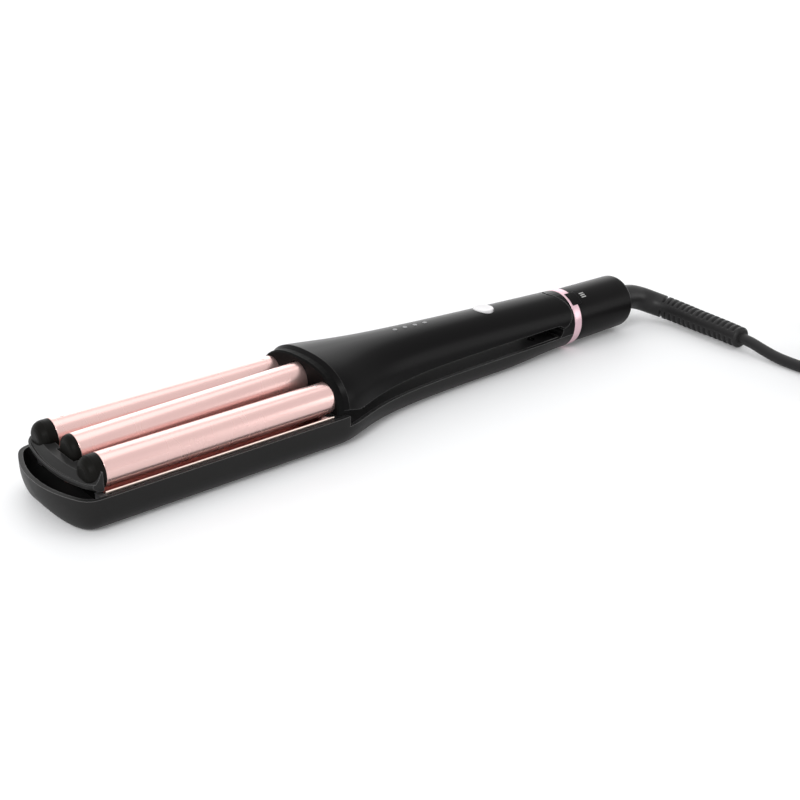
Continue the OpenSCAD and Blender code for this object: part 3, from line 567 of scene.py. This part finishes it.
# Seen from above, the nose's large arc meets the corner's arc at touchAt; the corner ends at cornerAt
cornerY = tool["mouthHalf"] - tool["noseCorner"]
noseReach = tool["noseRadius"] - tool["noseCorner"]
cornerAt = tool["noseRadius"] - math.sqrt(noseReach**2 - cornerY**2)
touchAt = tool["noseRadius"] - (tool["noseRadius"] - cornerAt) * tool["noseRadius"] / noseReach


def halfWidth(s):
    # Half width of both arms, seen from above
    if s < touchAt:
        return math.sqrt(tool["noseRadius"] ** 2 - (tool["noseRadius"] - s - tool["tipShift"]) ** 2)
    if s < cornerAt:
        return cornerY + math.sqrt(tool["noseCorner"] ** 2 - (cornerAt - s) ** 2)
    return handleHalf(s)


def crown(s):
    # Height of the back
    return lerp(tool["crownFront"], tool["ringDiameter"], share(s, tool["mouthAt"], tool["ringAt"]))


def waist(s):
    # Height of the widest place
    return lerp(tool["waistFront"], ringRadius, share(s, tool["mouthAt"], tool["ringAt"]))


def belly(s):
    # Height of the underside
    lift = tool["noseLift"]
    return lift - math.sqrt(lift**2 - (lift - s) ** 2) if s < lift else 0.0


def crownPower(s):
    # Two is an ellipse, more is squarer
    return lerp(tool["powerFront"], tool["powerRear"], share(s, tool["mouthAt"], tool["ringAt"]))


def edgeRound(s):
    # Radius between the side and the underside
    turned = lerp(tool["bellyRound"], ringRadius, eased(share(s, tool["bellyBlendAt"], tool["ringAt"])))
    room = min(waist(s), tool["rimHeight"]) - belly(s) - tool["sideLeast"]
    return max(tool["roundLeast"], min(turned, halfWidth(s), room))


def archPoint(s, angle, inset=0.0):
    # A point of the upper arm's arched section
    p = 2 / crownPower(s)
    c, n = math.cos(angle), max(0.0, math.sin(angle))
    y = (halfWidth(s) - inset) * math.copysign(abs(c) ** p, c)
    return at(s, y, waist(s) + (crown(s) - inset - waist(s)) * n**p)


def meshPiece(name, points, faces, look):
    data = bpy.data.meshes.new(name)
    data.from_pydata([tuple(p) for p in points], [], faces)
    data.validate()
    work = bmesh.new()
    work.from_mesh(data)
    bmesh.ops.recalc_face_normals(work, faces=work.faces)
    work.to_mesh(data)
    work.free()
    data.polygons.foreach_set("use_smooth", [True] * len(data.polygons))
    data.materials.append(looks[look])
    piece = bpy.data.objects.new(name, data)
    scene.collection.objects.link(piece)
    return piece


def gridFaces(rows, columns, closed=False):
    faces = []
    for i in range(rows - 1):
        a, b = i * columns, (i + 1) * columns
        for j in range(columns if closed else columns - 1):
            k = (j + 1) % columns
            faces.append((a + j, a + k, b + k, b + j))
    return faces


def bevelEdges(piece, width, steps, angle):
    # Rounds edges that turn by more than the angle
    rounder = piece.modifiers.new("rounding", "BEVEL")
    rounder.width = width / mmPerM
    rounder.segments = steps
    rounder.limit_method = "ANGLE"
    rounder.angle_limit = math.radians(angle)
    rounder.use_clamp_overlap = True
    rounder.harden_normals = True


def giveWall(piece, thickness):
    # Grows inwards from the outer skin
    wall = piece.modifiers.new("wall", "SOLIDIFY")
    wall.thickness = thickness / mmPerM
    wall.offset = -1
    wall.use_even_offset = True


def settle(piece):
    # Keeps what the modifiers make and drops them
    view = bpy.context.evaluated_depsgraph_get()
    made = bpy.data.meshes.new_from_object(piece.evaluated_get(view))
    piece.modifiers.clear()
    piece.data = made


def cutWith(piece, cutters):
    for cutter in cutters:
        knife = piece.modifiers.new("cut", "BOOLEAN")
        knife.operation = "DIFFERENCE"
        knife.solver = "EXACT"
        knife.object = cutter
    settle(piece)
    for cutter in cutters:
        bpy.data.objects.remove(cutter)


onAxis = 0.001  # radius of a profile's end that lies on the axis


def lathe(name, profile, height, look, body, steps, y=0.0, tilt=None):
    # profile is (station, radius) from one end of the outline to the other
    points = []
    for s, r in profile:
        for k in range(steps):
            a = 2 * math.pi * k / steps
            points.append(at(s, y + r * math.cos(a), height + r * math.sin(a)))
    faces = gridFaces(len(profile), steps, closed=True)
    for row, radius in ((0, profile[0][1]), (len(profile) - 1, profile[-1][1])):
        if radius > onAxis:
            faces.append(tuple(row * steps + k for k in range(steps)))
    piece = meshPiece(name, points, faces, look)
    if tilt:
        piece.data.transform(tilt)
    if body:
        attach(piece, body)
    return piece


def roundCorner(s, r, size, start, end, steps=6):
    # Points of a quarter circle about (s, r); angles from the +station direction
    turns = [lerp(start, end, i / steps) for i in range(steps + 1)]
    return [(s + size * math.cos(a), r + size * math.sin(a)) for a in turns]


def smoothByAngle(piece, degrees):
    piece.data.shade_smooth()
    piece.data.set_sharp_from_angle(angle=math.radians(degrees))


upperShell = {
    "across": 96,
    "along": 84,
    "crowding": 0.2,  # how far the rows gather at both ends
    "rimRound": 0.35,
    "rimFrom": 60,  # degrees
    "creaseFrom": 30,
    "lead": 1.4,  # how far the mouth's lip reaches forward
    "chamfer": (3.1, 2.3),  # along the tool and inwards, round the mouth
    "liningSpare": 0.2,
    "seatTries": 12,
    "seatLeast": 0.5,
    "buttonHole": 6.15,
    "lensAt": (206, 213, 220, 227),
    "lensHole": 1.28,
    "drillFrom": 6,  # below the back, and how far past it
    "drillPast": 3,
}


def upperLow(s):
    # Height of the shell's lower edge
    rear = tool["slotRear"] - slotRound
    near = tool["slotFront"] + tool["slotHigh"] - tool["slotLow"]
    if s < tool["slotFront"]:
        return tool["mouthCorner"]
    if s < near:
        return lerp(tool["mouthCorner"], tool["slotMouth"], share(s, tool["slotFront"], near))
    if s < tool["slotFull"]:
        return lerp(tool["slotMouth"], tool["slotHigh"], share(s, near, tool["slotFull"]))
    if s > rear:
        drop = slotRound**2 - (s - rear) ** 2
        return max(tool["waistFront"], tool["slotLow"] + slotRound + math.sqrt(max(0.0, drop)))
    return tool["slotHigh"]


def makeUpperShell(values):
    across, along, crowding = values["across"], values["along"], values["crowding"]

    def angleOf(s, v):
        # v runs from one lower edge over the back to the other
        p = 2 / crownPower(s)
        lift = max(0.0, upperLow(s) - waist(s)) / (crown(s) - waist(s))
        low = math.asin(min(1.0, lift ** (1 / p)))
        return lerp(low, math.pi - low, v)

    ends = []  # the rear end is part of a disc about the hinge
    for j in range(across + 1):
        end = tool["hingeAt"]
        for _ in range(values["seatTries"]):
            z = archPoint(end, angleOf(end, j / across)).z * mmPerM
            reach = tool["discRadius"] ** 2 - (z - tool["hingeHeight"]) ** 2
            end = tool["hingeAt"] + math.sqrt(max(values["seatLeast"], reach))
        ends.append(end)
    chamfer, mouth = values["chamfer"], tool["mouthAt"] - values["lead"]
    lining = max(tool["wall"], chamfer[1] + values["liningSpare"])
    outer, inner = [], []
    for i in range(along + 1):
        u = i / along
        u = u * (1 - crowding) + crowding * (math.sin((u - 0.5) * math.pi) + 1) / 2
        for j in range(across + 1):
            s = lerp(mouth + chamfer[0], ends[j], u)
            outer.append(archPoint(s, angleOf(s, j / across)))
            inner.append(archPoint(s, angleOf(s, j / across), tool["wall"]))
    rim = [archPoint(mouth, angleOf(mouth, j / across), chamfer[1]) for j in range(across + 1)]
    back = [archPoint(mouth, angleOf(mouth, j / across), lining) for j in range(across + 1)]
    points = rim + outer + back + inner
    rows, columns = along + 2, across + 1
    faces = gridFaces(rows, columns)
    half = rows * columns
    faces += [tuple(half + k for k in reversed(face)) for face in gridFaces(rows, columns)]
    edge = list(range(columns)) + [i * columns + columns - 1 for i in range(1, rows)]
    edge += [(rows - 1) * columns + j for j in reversed(range(columns - 1))]
    edge += [i * columns for i in reversed(range(1, rows - 1))]
    for a, b in zip(edge, edge[1:] + edge[:1]):
        faces.append((a, b, half + b, half + a))
    shell = meshPiece("upperShell", points, faces, "shellSatin")
    holes = [drill(values, tool["buttonAt"], values["buttonHole"], 64)]
    holes += [drill(values, s, values["lensHole"], 32) for s in values["lensAt"]]
    cutWith(shell, holes)
    bevelEdges(shell, values["rimRound"], 3, values["rimFrom"])
    smoothByAngle(shell, values["creaseFrom"])
    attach(shell, "upper_arm")
    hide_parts("upper_casing")


def drill(values, s, radius, steps):
    # An upright rod that cuts a hole in the back
    points = []
    for z in (crown(s) - values["drillFrom"], crown(s) + values["drillPast"]):
        for k in range(steps):
            a = 2 * math.pi * k / steps
            points.append(at(s + radius * math.cos(a), radius * math.sin(a), z))
    faces = gridFaces(2, steps, closed=True)
    faces += [tuple(range(steps)), tuple(range(steps, 2 * steps))]
    return meshPiece("drill", points, faces, "shellSatin")


makeUpperShell(upperShell)
print("upper shell made")

lowerShell = {
    "side": 4,  # points up each side, round each edge and over half the floor
    "round": 14,
    "floor": 14,
    "noseRun": 12,
    "noseRows": 16,
    "beforeCorner": 14,
    "trayFrom": 20,
    "trayTo": 145,
    "trayRows": 16,
    "beforeStep": (147, 148.6),
    "stepRun": 0.02,  # the rim drops to the arm's edge within this
    "afterStep": (149.4, 150, 151.5, 153, 155),
    "armFrom": 157,
    "armRows": 46,
    "gather": 0.0001,
    "rimRound": 0.5,
    "rimFrom": 50,  # degrees
    "creaseFrom": 40,
}


def lowerTop(s):
    # Height of the rim, lower behind the mouth
    return tool["rimHeight"] if s <= tool["slotFront"] else tool["slotLow"]


def makeLowerShell(v):
    rows, last = v["noseRows"], v["trayRows"]
    nose = [v["noseRun"] * (i / rows) ** 2 for i in range(rows + 1)]
    tray = [v["beforeCorner"], cornerAt]
    tray += [lerp(v["trayFrom"], v["trayTo"], i / last) for i in range(last + 1)]
    step = [*v["beforeStep"], tool["slotFront"], tool["slotFront"] + v["stepRun"], *v["afterStep"]]
    arm = [lerp(v["armFrom"], tool["ringAt"], i / v["armRows"]) for i in range(v["armRows"] + 1)]
    stations = nose + tray + step + arm
    points = []
    for s in stations:
        w, r, low, top = halfWidth(s), edgeRound(s), belly(s), lowerTop(s)
        knee = low + r
        start = math.asin(max(0.0, min(1.0, (knee - top) / r)))
        arc = []
        for i in range(v["round"] + 1):
            a = lerp(start, math.pi / 2, i / v["round"])
            arc.append((w - r + r * math.cos(a), knee - r * math.sin(a)))
        if knee < top:
            side = [(w, lerp(top, knee, i / v["side"])) for i in range(v["side"])]
        else:  # the arc reaches the rim, so the side's points gather at its start
            side = [(arc[0][0], arc[0][1] + v["gather"] * (v["side"] - i)) for i in range(v["side"])]
        flat = w - r
        floor = [(lerp(flat, -flat, i / v["floor"]), low) for i in range(1, v["floor"])]
        points += [at(s, y, z) for y, z in side + arc + floor]
        points += [at(s, -y, z) for y, z in reversed(side + arc)]
    columns = len(points) // len(stations)
    faces = gridFaces(len(stations), columns)
    faces.append(tuple(range(columns)))
    shell = meshPiece("lowerShell", points, faces, "traySatin")
    giveWall(shell, tool["wall"])
    settle(shell)
    bevelEdges(shell, v["rimRound"], 3, v["rimFrom"])
    smoothByAngle(shell, v["creaseFrom"])
    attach(shell, "lower_arm")
    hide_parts("lower_casing")


makeLowerShell(lowerShell)
print("lower shell made")

turnedSides = 160  # round the ring and the dial
creaseFrom = 40  # degrees, for turned and rolled pieces

dialSet = {
    "front": 336.0,
    "rear": 384.0,
    "frontRadius": 16.4,
    "rearRadius": 15.9,
    "rearRound": 4.0,
    "frontRound": 0.5,
    "rows": 8,
    "bore": 12.95,
    "boreRun": 1.0,  # how far in, and by how much, the bore opens at the front
    "boreFlare": 0.4,
    "boreStep": 0.2,
    "backWall": 4.0,
    "neckHole": 8.0,
    "neckEase": 0.5,
    "tabAngles": (41, 72),
    "tabOut": 17.2,
    "tabIn": 15.4,
    "tabFrom": 331.3,
    "tabTo": 339.0,
    "tabSteps": 36,
    "tabRound": 0.3,
}


def makeDial(v):
    front, rear, bore, hole = v["front"], v["rear"], v["bore"], v["neckHole"]
    lip, heel, ease = v["frontRound"], v["rearRound"], v["neckEase"]
    mouth, wall = front + v["boreRun"], rear - v["backWall"]
    profile = [(mouth, bore), (front, bore + v["boreFlare"])]
    profile += roundCorner(front + lip, v["frontRadius"] - lip, lip, math.pi, math.pi / 2)
    for i in range(1, v["rows"]):
        u = i / v["rows"]
        profile.append((lerp(mouth, rear - heel, u), lerp(v["frontRadius"], v["rearRadius"], u)))
    profile += roundCorner(rear - heel, v["rearRadius"] - heel, heel, math.pi / 2, 0, 10)
    profile += [(rear, hole + ease), (rear - ease, hole), (wall, hole)]
    profile += [(wall, bore - v["boreStep"]), (mouth, bore)]
    dial = lathe("dialBody", profile, ringRadius, "dialSatin", "dial", turnedSides)
    smoothByAngle(dial, creaseFrom)
    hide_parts("selector_dial")
    # The tab that reaches over the ring
    points, steps = [], v["tabSteps"]
    near, far = (math.radians(a) for a in v["tabAngles"])
    for r in (v["tabIn"], v["tabOut"]):
        for s in (v["tabFrom"], v["tabTo"]):
            for k in range(steps + 1):
                a = lerp(near, far, k / steps)
                points.append(at(s, -r * math.cos(a), ringRadius + r * math.sin(a)))
    n = steps + 1
    faces = []
    for a, b in ((0, 1), (1, 3), (3, 2), (2, 0)):
        for k in range(steps):
            faces.append((a * n + k, a * n + k + 1, b * n + k + 1, b * n + k))
    faces += [(0, n, 3 * n, 2 * n), (n - 1, 2 * n - 1, 4 * n - 1, 3 * n - 1)]
    tab = meshPiece("dialTab", points, faces, "dialSatin")
    bevelEdges(tab, v["tabRound"], 2, creaseFrom)
    smoothByAngle(tab, creaseFrom)
    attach(tab, "dial")


ringSet = {"front": 329.9, "width": 5.8, "round": 0.45, "bore": 13.0}


def makeRing(v):
    front, rear, size = v["front"], v["front"] + v["width"], v["round"]
    profile = [(front, v["bore"])]
    profile += roundCorner(front + size, ringRadius - size, size, math.pi, math.pi / 2)
    profile += roundCorner(rear - size, ringRadius - size, size, math.pi / 2, 0)
    profile += [(rear, v["bore"]), (front, v["bore"])]
    ring = lathe("roseRing", profile, ringRadius, "roseRing", "dial", turnedSides)
    smoothByAngle(ring, creaseFrom)
    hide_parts("trim_ring")


makeDial(dialSet)
makeRing(ringSet)

buttonSet = {
    "radius": 5.9,
    "proud": 0.6,
    "skirt": 3.2,
    "edge": 0.55,
    "dish": 0.21,
    "sides": 72,
    "dishRows": 8,
    "edgeRows": 5,
    "creaseFrom": 50,
}


def makeButton(v):
    place, edge, steps = tool["buttonAt"], v["edge"], v["sides"]
    top, flat = crown(place) + v["proud"], v["radius"] - edge
    rings = []  # radius and height, from the middle outwards
    for i in range(v["dishRows"] + 1):
        u = i / v["dishRows"]
        rings.append((u * flat, top - v["dish"] * (1 - u * u) ** 2))
    for i in range(1, v["edgeRows"] + 1):
        a = math.pi / 2 * i / v["edgeRows"]
        rings.append((flat + edge * math.sin(a), top - edge + edge * math.cos(a)))
    rings.append((v["radius"], top - v["skirt"]))
    points = [at(place, 0, rings[0][1])]
    for r, z in rings[1:]:
        for k in range(steps):
            a = 2 * math.pi * k / steps
            points.append(at(place + r * math.cos(a), r * math.sin(a), z))
    faces = [(0, 1 + (k + 1) % steps, 1 + k) for k in range(steps)]
    for i in range(len(rings) - 2):
        for k in range(steps):
            a, b = 1 + i * steps, 1 + (i + 1) * steps
            m = (k + 1) % steps
            faces.append((a + k, a + m, b + m, b + k))
    last = 1 + (len(rings) - 2) * steps
    faces.append(tuple(last + k for k in range(steps)))
    button = meshPiece("powerCap", points, faces, "buttonWhite")
    smoothByAngle(button, v["creaseFrom"])
    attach(button, "button")
    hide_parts("power_button")


makeButton(buttonSet)
print("dial, ring and button made")

barrelSet = {
    "radius": 8.0,
    "wall": 0.9,
    "front": 20.5,
    "rear": 147.4,
    "height": 25.0,
    "pitch": 22.6,
    "middleRear": 148.0,
    "middleHeight": 25.73,
    "middleTilt": 1.33,  # degrees, at rest
    "edge": 0.25,
    "lining": 6.0,  # how far in the tube shows its wall
    "margin": 1.0,
    "rows": 20,
    "sides": 128,
}


def barrelProfile(v, front, rear):
    radius, size, margin = v["radius"], v["edge"], v["margin"]
    inner = radius - v["wall"]
    profile = [(front + v["lining"], inner), (front, inner)]
    profile += roundCorner(front + size, radius - size, size, math.pi, math.pi / 2, 4)
    profile += [(lerp(front + margin, rear - margin, i / v["rows"]), radius) for i in range(v["rows"] + 1)]
    profile += [(rear, radius), (rear, inner)]
    return profile


def makeBarrels(v):
    for name, side in (("left", -1), ("right", 1)):
        tube = lathe(
            "barrelSkin_" + name,
            barrelProfile(v, v["front"], v["rear"]),
            v["height"],
            "roseBarrel",
            "upper_arm",
            v["sides"],
            y=side * v["pitch"],
        )
        smoothByAngle(tube, creaseFrom)
        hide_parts("outer_barrel_" + name)
    pivot = at(v["front"], 0, v["middleHeight"])
    tilt = (
        Matrix.Translation(pivot)
        @ Matrix.Rotation(-math.radians(v["middleTilt"]), 4, "Y")
        @ Matrix.Translation(-pivot)
    )
    tube = lathe(
        "barrelSkin_middle",
        barrelProfile(v, v["front"], v["middleRear"]),
        v["middleHeight"],
        "roseBarrel",
        "middle_barrel",
        v["sides"],
        tilt=tilt,
    )
    smoothByAngle(tube, creaseFrom)
    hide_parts("middle_barrel")


makeBarrels(barrelSet)
print("barrels made")

plateSet = {
    "front": 19.0,
    "rear": 141.5,
    "half": 31.4,
    "valley": 15.8,
    "ridge": 20.5,
    "edgeHeight": 18.0,
    "thick": 1.6,
    "bead": 0.5,  # radius of the rolled edge
    "waveSteps": 140,
    "beadSteps": 10,
    "edgeRound": 0.3,
    "edgeFrom": 50,  # degrees
}


def waveHeight(v, y):
    # Valleys below the barrels, ridges between them, and a rise to the edge
    pitch, valley = barrelSet["pitch"], v["valley"]
    if abs(y) <= pitch:
        return valley + (v["ridge"] - valley) / 2 * (1 - math.cos(2 * math.pi * y / pitch))
    out = (abs(y) - pitch) / (v["half"] - 2 * v["bead"] - pitch)
    return valley + (v["edgeHeight"] - valley) * out**2


def makePlate(v):
    inner, roll = v["half"] - 2 * v["bead"], v["bead"]
    flat = [lerp(-inner, inner, i / v["waveSteps"]) for i in range(v["waveSteps"] + 1)]
    curl = [math.pi * i / v["beadSteps"] for i in range(v["beadSteps"] + 1)]
    edge = [(inner + roll - roll * math.cos(a), v["edgeHeight"] + roll * math.sin(a)) for a in curl]
    outline = [(-y, z) for y, z in reversed(edge)] + [(y, waveHeight(v, y)) for y in flat[1:-1]] + edge
    steps = len(outline) - 1
    outline += [(y, z - v["thick"]) for y, z in reversed(outline)]
    points = [at(s, y, z) for s in (v["front"], v["rear"]) for y, z in outline]
    n = len(outline)
    faces = gridFaces(2, n, closed=True)
    for row in (0, n):
        for i in range(steps):
            faces.append((row + i, row + i + 1, row + n - 2 - i, row + n - 1 - i))
    plate = meshPiece("wavePlate", points, faces, "plateRosePaintedLight")
    bevelEdges(plate, v["edgeRound"], 2, v["edgeFrom"])
    smoothByAngle(plate, creaseFrom)
    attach(plate, "lower_arm")
    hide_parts("wave_plate")


makePlate(plateSet)
print("wave plate made")

bridgeSet = {
    "half": 31.2,
    "front": 8.0,
    "bow": 4.2,
    "endFrom": 26.5,
    "endBend": 0.06,
    "lip": 20.0,
    "lipGain": 1.5,  # the lip's rise towards the ends
    "lipLine": ((0.5, -0.8), (0, -0.2), (0, 1.1), (0.5, 1.75)),  # behind the front, above the lip
    "lipRun": 1.3,
    "lipTop": 1.5,
    "hollow": ((0.4, 0.3), (0.75, 0.72)),  # share of the face's run and of its rise
    "faceRun": 4.4,
    "low": 19.0,
    "top": 24.8,
    "rear": 18.5,
    "rearGap": 0.6,
    "undercut": 3.0,
    "hornRise": 3.2,
    "hornFrom": 22.0,
    "hornTo": 28.5,
    "columns": 120,
    "boreFrom": 16.1,
    "boreTo": 30.0,
    "boreRadius": 8.4,
    "edgeRound": 0.4,
    "edgeFrom": 35,  # degrees
    "creaseFrom": 50,
}


def bridgeSection(v, y):
    # A lip, a hollow behind it and a face that rises to the caps; the ends rise to the rear
    w = abs(y) / v["half"]
    front = v["front"] + v["bow"] * w * w + v["endBend"] * max(0.0, abs(y) - v["endFrom"]) ** 2
    lip = v["lip"] + v["lipGain"] * w * w
    horn = eased(share(abs(y), v["hornFrom"], v["hornTo"]))
    top = v["top"] + v["hornRise"] * horn
    face = front + lerp(v["faceRun"], v["rear"] - front - v["rearGap"], horn)
    start, foot = front + v["lipRun"], lip + v["lipTop"]
    section = [(front + back, lip + up) for back, up in v["lipLine"]]
    section.append((start, foot))
    section += [(lerp(start, face, back), foot + up * (top - foot)) for back, up in v["hollow"]]
    section += [(face, top), (v["rear"], top), (v["rear"], v["low"]), (front + v["undercut"], v["low"])]
    return section


def makeBridge(v):
    points = []
    for i in range(v["columns"] + 1):
        y = lerp(-v["half"], v["half"], i / v["columns"])
        points += [at(s, y, z) for s, z in bridgeSection(v, y)]
    size = len(points) // (v["columns"] + 1)
    faces = gridFaces(v["columns"] + 1, size, closed=True)
    faces += [tuple(range(size)), tuple(range(len(points) - size, len(points)))]
    bridge = meshPiece("bowBridge", points, faces, "bridgeSatin")
    near, far, r = v["boreFrom"], v["boreTo"], v["boreRadius"]
    rod = [(near, onAxis), (near, r), (far, r), (far, onAxis)]
    cutWith(bridge, [lathe("hollow", rod, barrelSet["middleHeight"], "bridgeSatin", None, 96)])
    bevelEdges(bridge, v["edgeRound"], 3, v["edgeFrom"])
    smoothByAngle(bridge, v["creaseFrom"])
    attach(bridge, "upper_arm")
    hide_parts("front_bridge")


makeBridge(bridgeSet)
print("bridge made")

sleeveSet = {
    "route": [
        (192, 0, 17), (205, 0, 16.3), (214.5, -2, 13.6), (221, -8, 10.7), (224.5, -18, 8.8),
        (224.8, -30, 8), (223.5, -42, 7.8), (222, -61, 7.5), (220, -76, 7.3),
    ],
    "startRadius": 7.6,
    "endRadius": 6.3,
    "endTaper": 1.2,
    "ribPitch": 4.1,
    "ribFrom": 37.5,
    "ribDepth": 1.5,
    "slotFrom": 0.45,  # shares of the pitch
    "slotTo": 0.95,
    "slotSteep": 0.35,
    "plainEnd": 3.0,
    "spineAt": 20.0,  # degrees round the sleeve, from -X upwards
    "spineHalf": 20.0,
    "spineEase": 7.0,
    "spanSteps": 12,
    "step": 0.35,
    "sides": 64,
}
cordSet = {
    "diameter": 6.5,
    "lead": [
        (220, -76, 7.3), (219, -84, 6.8), (218, -93, 5.3), (217.3, -103, 3.9),
        (217, -114, 3.4), (217, -128, 3.4), (217, -144, 3.4), (217, -162, 3.4),
    ],
    "coilAt": (254.5, -162.0),
    "rows": (3.4, 10.0, 16.6),
    "radii": (30.9, 37.5, 44.2),
    "order": ((1, 0), (0, 0), (0, 1), (0, 2), (1, 2), (2, 2), (2, 1), (2, 0)),  # radius, row of each turn
    "firstMove": 345,  # degrees to the first move to a next place, and from one move to another
    "nextMove": 330,
    "moveRun": 60.0,  # degrees that a move takes
    "coilStep": 6,
    "tail": [(300, -152, 4.2), (302.6, -141, 5.6), (304, -129, 6.4)],  # from the coil to the plug
    "spanSteps": 5,
    "roundness": 6,
}


def curveThrough(points, perSpan):
    # Smooth curve through given points
    made = []
    n = len(points)
    for i in range(n - 1):
        p0, p1 = points[max(0, i - 1)], points[i]
        p2, p3 = points[i + 1], points[min(n - 1, i + 2)]
        for k in range(perSpan):
            t = k / perSpan
            bend = 2 * p0 - 5 * p1 + 4 * p2 - p3
            twist = 3 * p1 - p0 - 3 * p2 + p3
            made.append(0.5 * (2 * p1 + (p2 - p0) * t + bend * t * t + twist * t * t * t))
    made.append(points[-1])
    return made


def mmToM(points):
    return [Vector(p) / mmPerM for p in points]


def sweepTube(name, line, radiusAt, sides, look):
    # radiusAt gives the radius at a point of the line and an angle round it
    points = []
    for i, p in enumerate(line):
        d = (line[min(i + 1, len(line) - 1)] - line[max(i - 1, 0)]).normalized()
        u = d.cross(Vector((0, 0, 1))).normalized()
        v = u.cross(d)
        for k in range(sides):
            a = 2 * math.pi * k / sides
            points.append(p + radiusAt(i, a) * (math.cos(a) * u + math.sin(a) * v))
    faces = gridFaces(len(line), sides, closed=True)
    faces += [tuple(range(sides)), tuple(range(len(points) - sides, len(points)))]
    return meshPiece(name, points, faces, look)


def evenly(line, step):
    # Points a fixed distance apart along a line
    made, left = [line[0]], step
    for a, b in zip(line, line[1:]):
        span = (b - a).length
        done = 0.0
        while span - done >= left:
            done += left
            made.append(a.lerp(b, done / span))
            left = step
        left -= span - done
    made.append(line[-1])
    return made


def makeSleeve(v):
    line = evenly(curveThrough(mmToM(v["route"]), v["spanSteps"]), v["step"] / mmPerM)
    total = len(line) - 1

    def slotShare(reach):
        phase = (reach - v["ribFrom"]) % v["ribPitch"] / v["ribPitch"]
        if not v["slotFrom"] < phase < v["slotTo"]:
            return 0.0
        wave = math.sin(math.pi * (phase - v["slotFrom"]) / (v["slotTo"] - v["slotFrom"]))
        return max(0.0, wave) ** v["slotSteep"]

    def radiusAt(i, a):
        reach, left = i * v["step"], (total - i) * v["step"]
        r = lerp(v["startRadius"], v["endRadius"], i / total) - max(0.0, v["endTaper"] - left)
        if reach > v["ribFrom"] and left > v["plainEnd"]:
            away = abs((math.degrees(a) - v["spineAt"] + 90) % 180 - 90)
            clear = eased(share(away, v["spineHalf"], v["spineHalf"] + v["spineEase"]))
            r -= v["ribDepth"] * slotShare(reach) * clear
        return r / mmPerM

    sleeve = sweepTube("ribbedSleeve", line, radiusAt, v["sides"], "cordRubber")
    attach(sleeve, "lower_arm")
    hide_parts("strain_relief")
    return sleeve


def coilLine(v):
    # From the -X side round to the +X side, one place in the bundle after another
    places = [(v["radii"][a], v["rows"][b]) for a, b in v["order"]]
    moves = [v["firstMove"] + v["nextMove"] * k for k in range(len(places) - 1)]
    half = v["moveRun"] / 2
    last = 360 * (len(places) - 1) + 180
    made = []
    for step in range(0, last + 1, v["coilStep"]):
        k = sum(step > move + half for move in moves)
        r, z = places[k]
        if k < len(moves):
            u = eased(share(step, moves[k] - half, moves[k] + half))
            r, z = lerp(r, places[k + 1][0], u), lerp(z, places[k + 1][1], u)
        a = math.radians(180 + step)
        made.append((v["coilAt"][0] + r * math.cos(a), v["coilAt"][1] + r * math.sin(a), z))
    return made


def makeCord(v, sleeve):
    coil = coilLine(v)
    route = curveThrough(mmToM(v["lead"]), v["spanSteps"])[:-1] + mmToM(coil)
    route += curveThrough(mmToM([coil[-1]] + v["tail"]), v["spanSteps"])[1:]
    data = bpy.data.curves.new("mainsCord", "CURVE")
    data.dimensions = "3D"
    data.bevel_depth = v["diameter"] / 2 / mmPerM
    data.bevel_resolution = v["roundness"]
    data.use_fill_caps = True
    spline = data.splines.new("POLY")
    spline.points.add(len(route) - 1)
    for point, place in zip(spline.points, route):
        point.co = (*place, 1)
    data.materials.append(looks["cordRubber"])
    cord = bpy.data.objects.new("mainsCord", data)
    scene.collection.objects.link(cord)
    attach(cord, "lower_arm")
    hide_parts("cord_lead", "cord_coil", "cord_tail")


makeCord(cordSet, makeSleeve(sleeveSet))
print("cord made")

floorSet = {
    "half": 6.0,
    "colour": (0.90, 0.905, 0.915, 1),
    "rough": 0.6,
    "lift": 0.07,
    "fadeFrom": 0.45,  # past this distance the floor fades to white
    "fadeTo": 1.3,
}


def floorFinish(values):
    mat, tree, shader = startMaterial("paleFloor")
    shader.inputs["Roughness"].default_value = values["rough"]
    shader.inputs["Base Color"].default_value = values["colour"]
    coord = tree.nodes.new("ShaderNodeTexCoord")
    reach = tree.nodes.new("ShaderNodeVectorMath")
    reach.operation = "LENGTH"
    tree.links.new(coord.outputs["Object"], reach.inputs[0])
    far = tree.nodes.new("ShaderNodeMapRange")
    far.inputs["From Min"].default_value = values["fadeFrom"]
    far.inputs["From Max"].default_value = values["fadeTo"]
    far.inputs["To Min"].default_value = values["lift"]
    far.inputs["To Max"].default_value = 1.0
    tree.links.new(reach.outputs["Value"], far.inputs["Value"])
    lift = mathNode(tree, "MULTIPLY", shownRays(tree), far.outputs[0])
    shader.inputs["Emission Color"].default_value = (1, 1, 1, 1)
    tree.links.new(lift, shader.inputs["Emission Strength"])
    return mat


def makeFloor(half):
    points = [(-half, -half, 0), (half, -half, 0), (half, half, 0), (-half, half, 0)]
    meshPiece("floor", points, [(0, 1, 2, 3)], "paleFloor")


looks["paleFloor"] = floorFinish(floorSet)
makeFloor(floorSet["half"])
print("floor made")
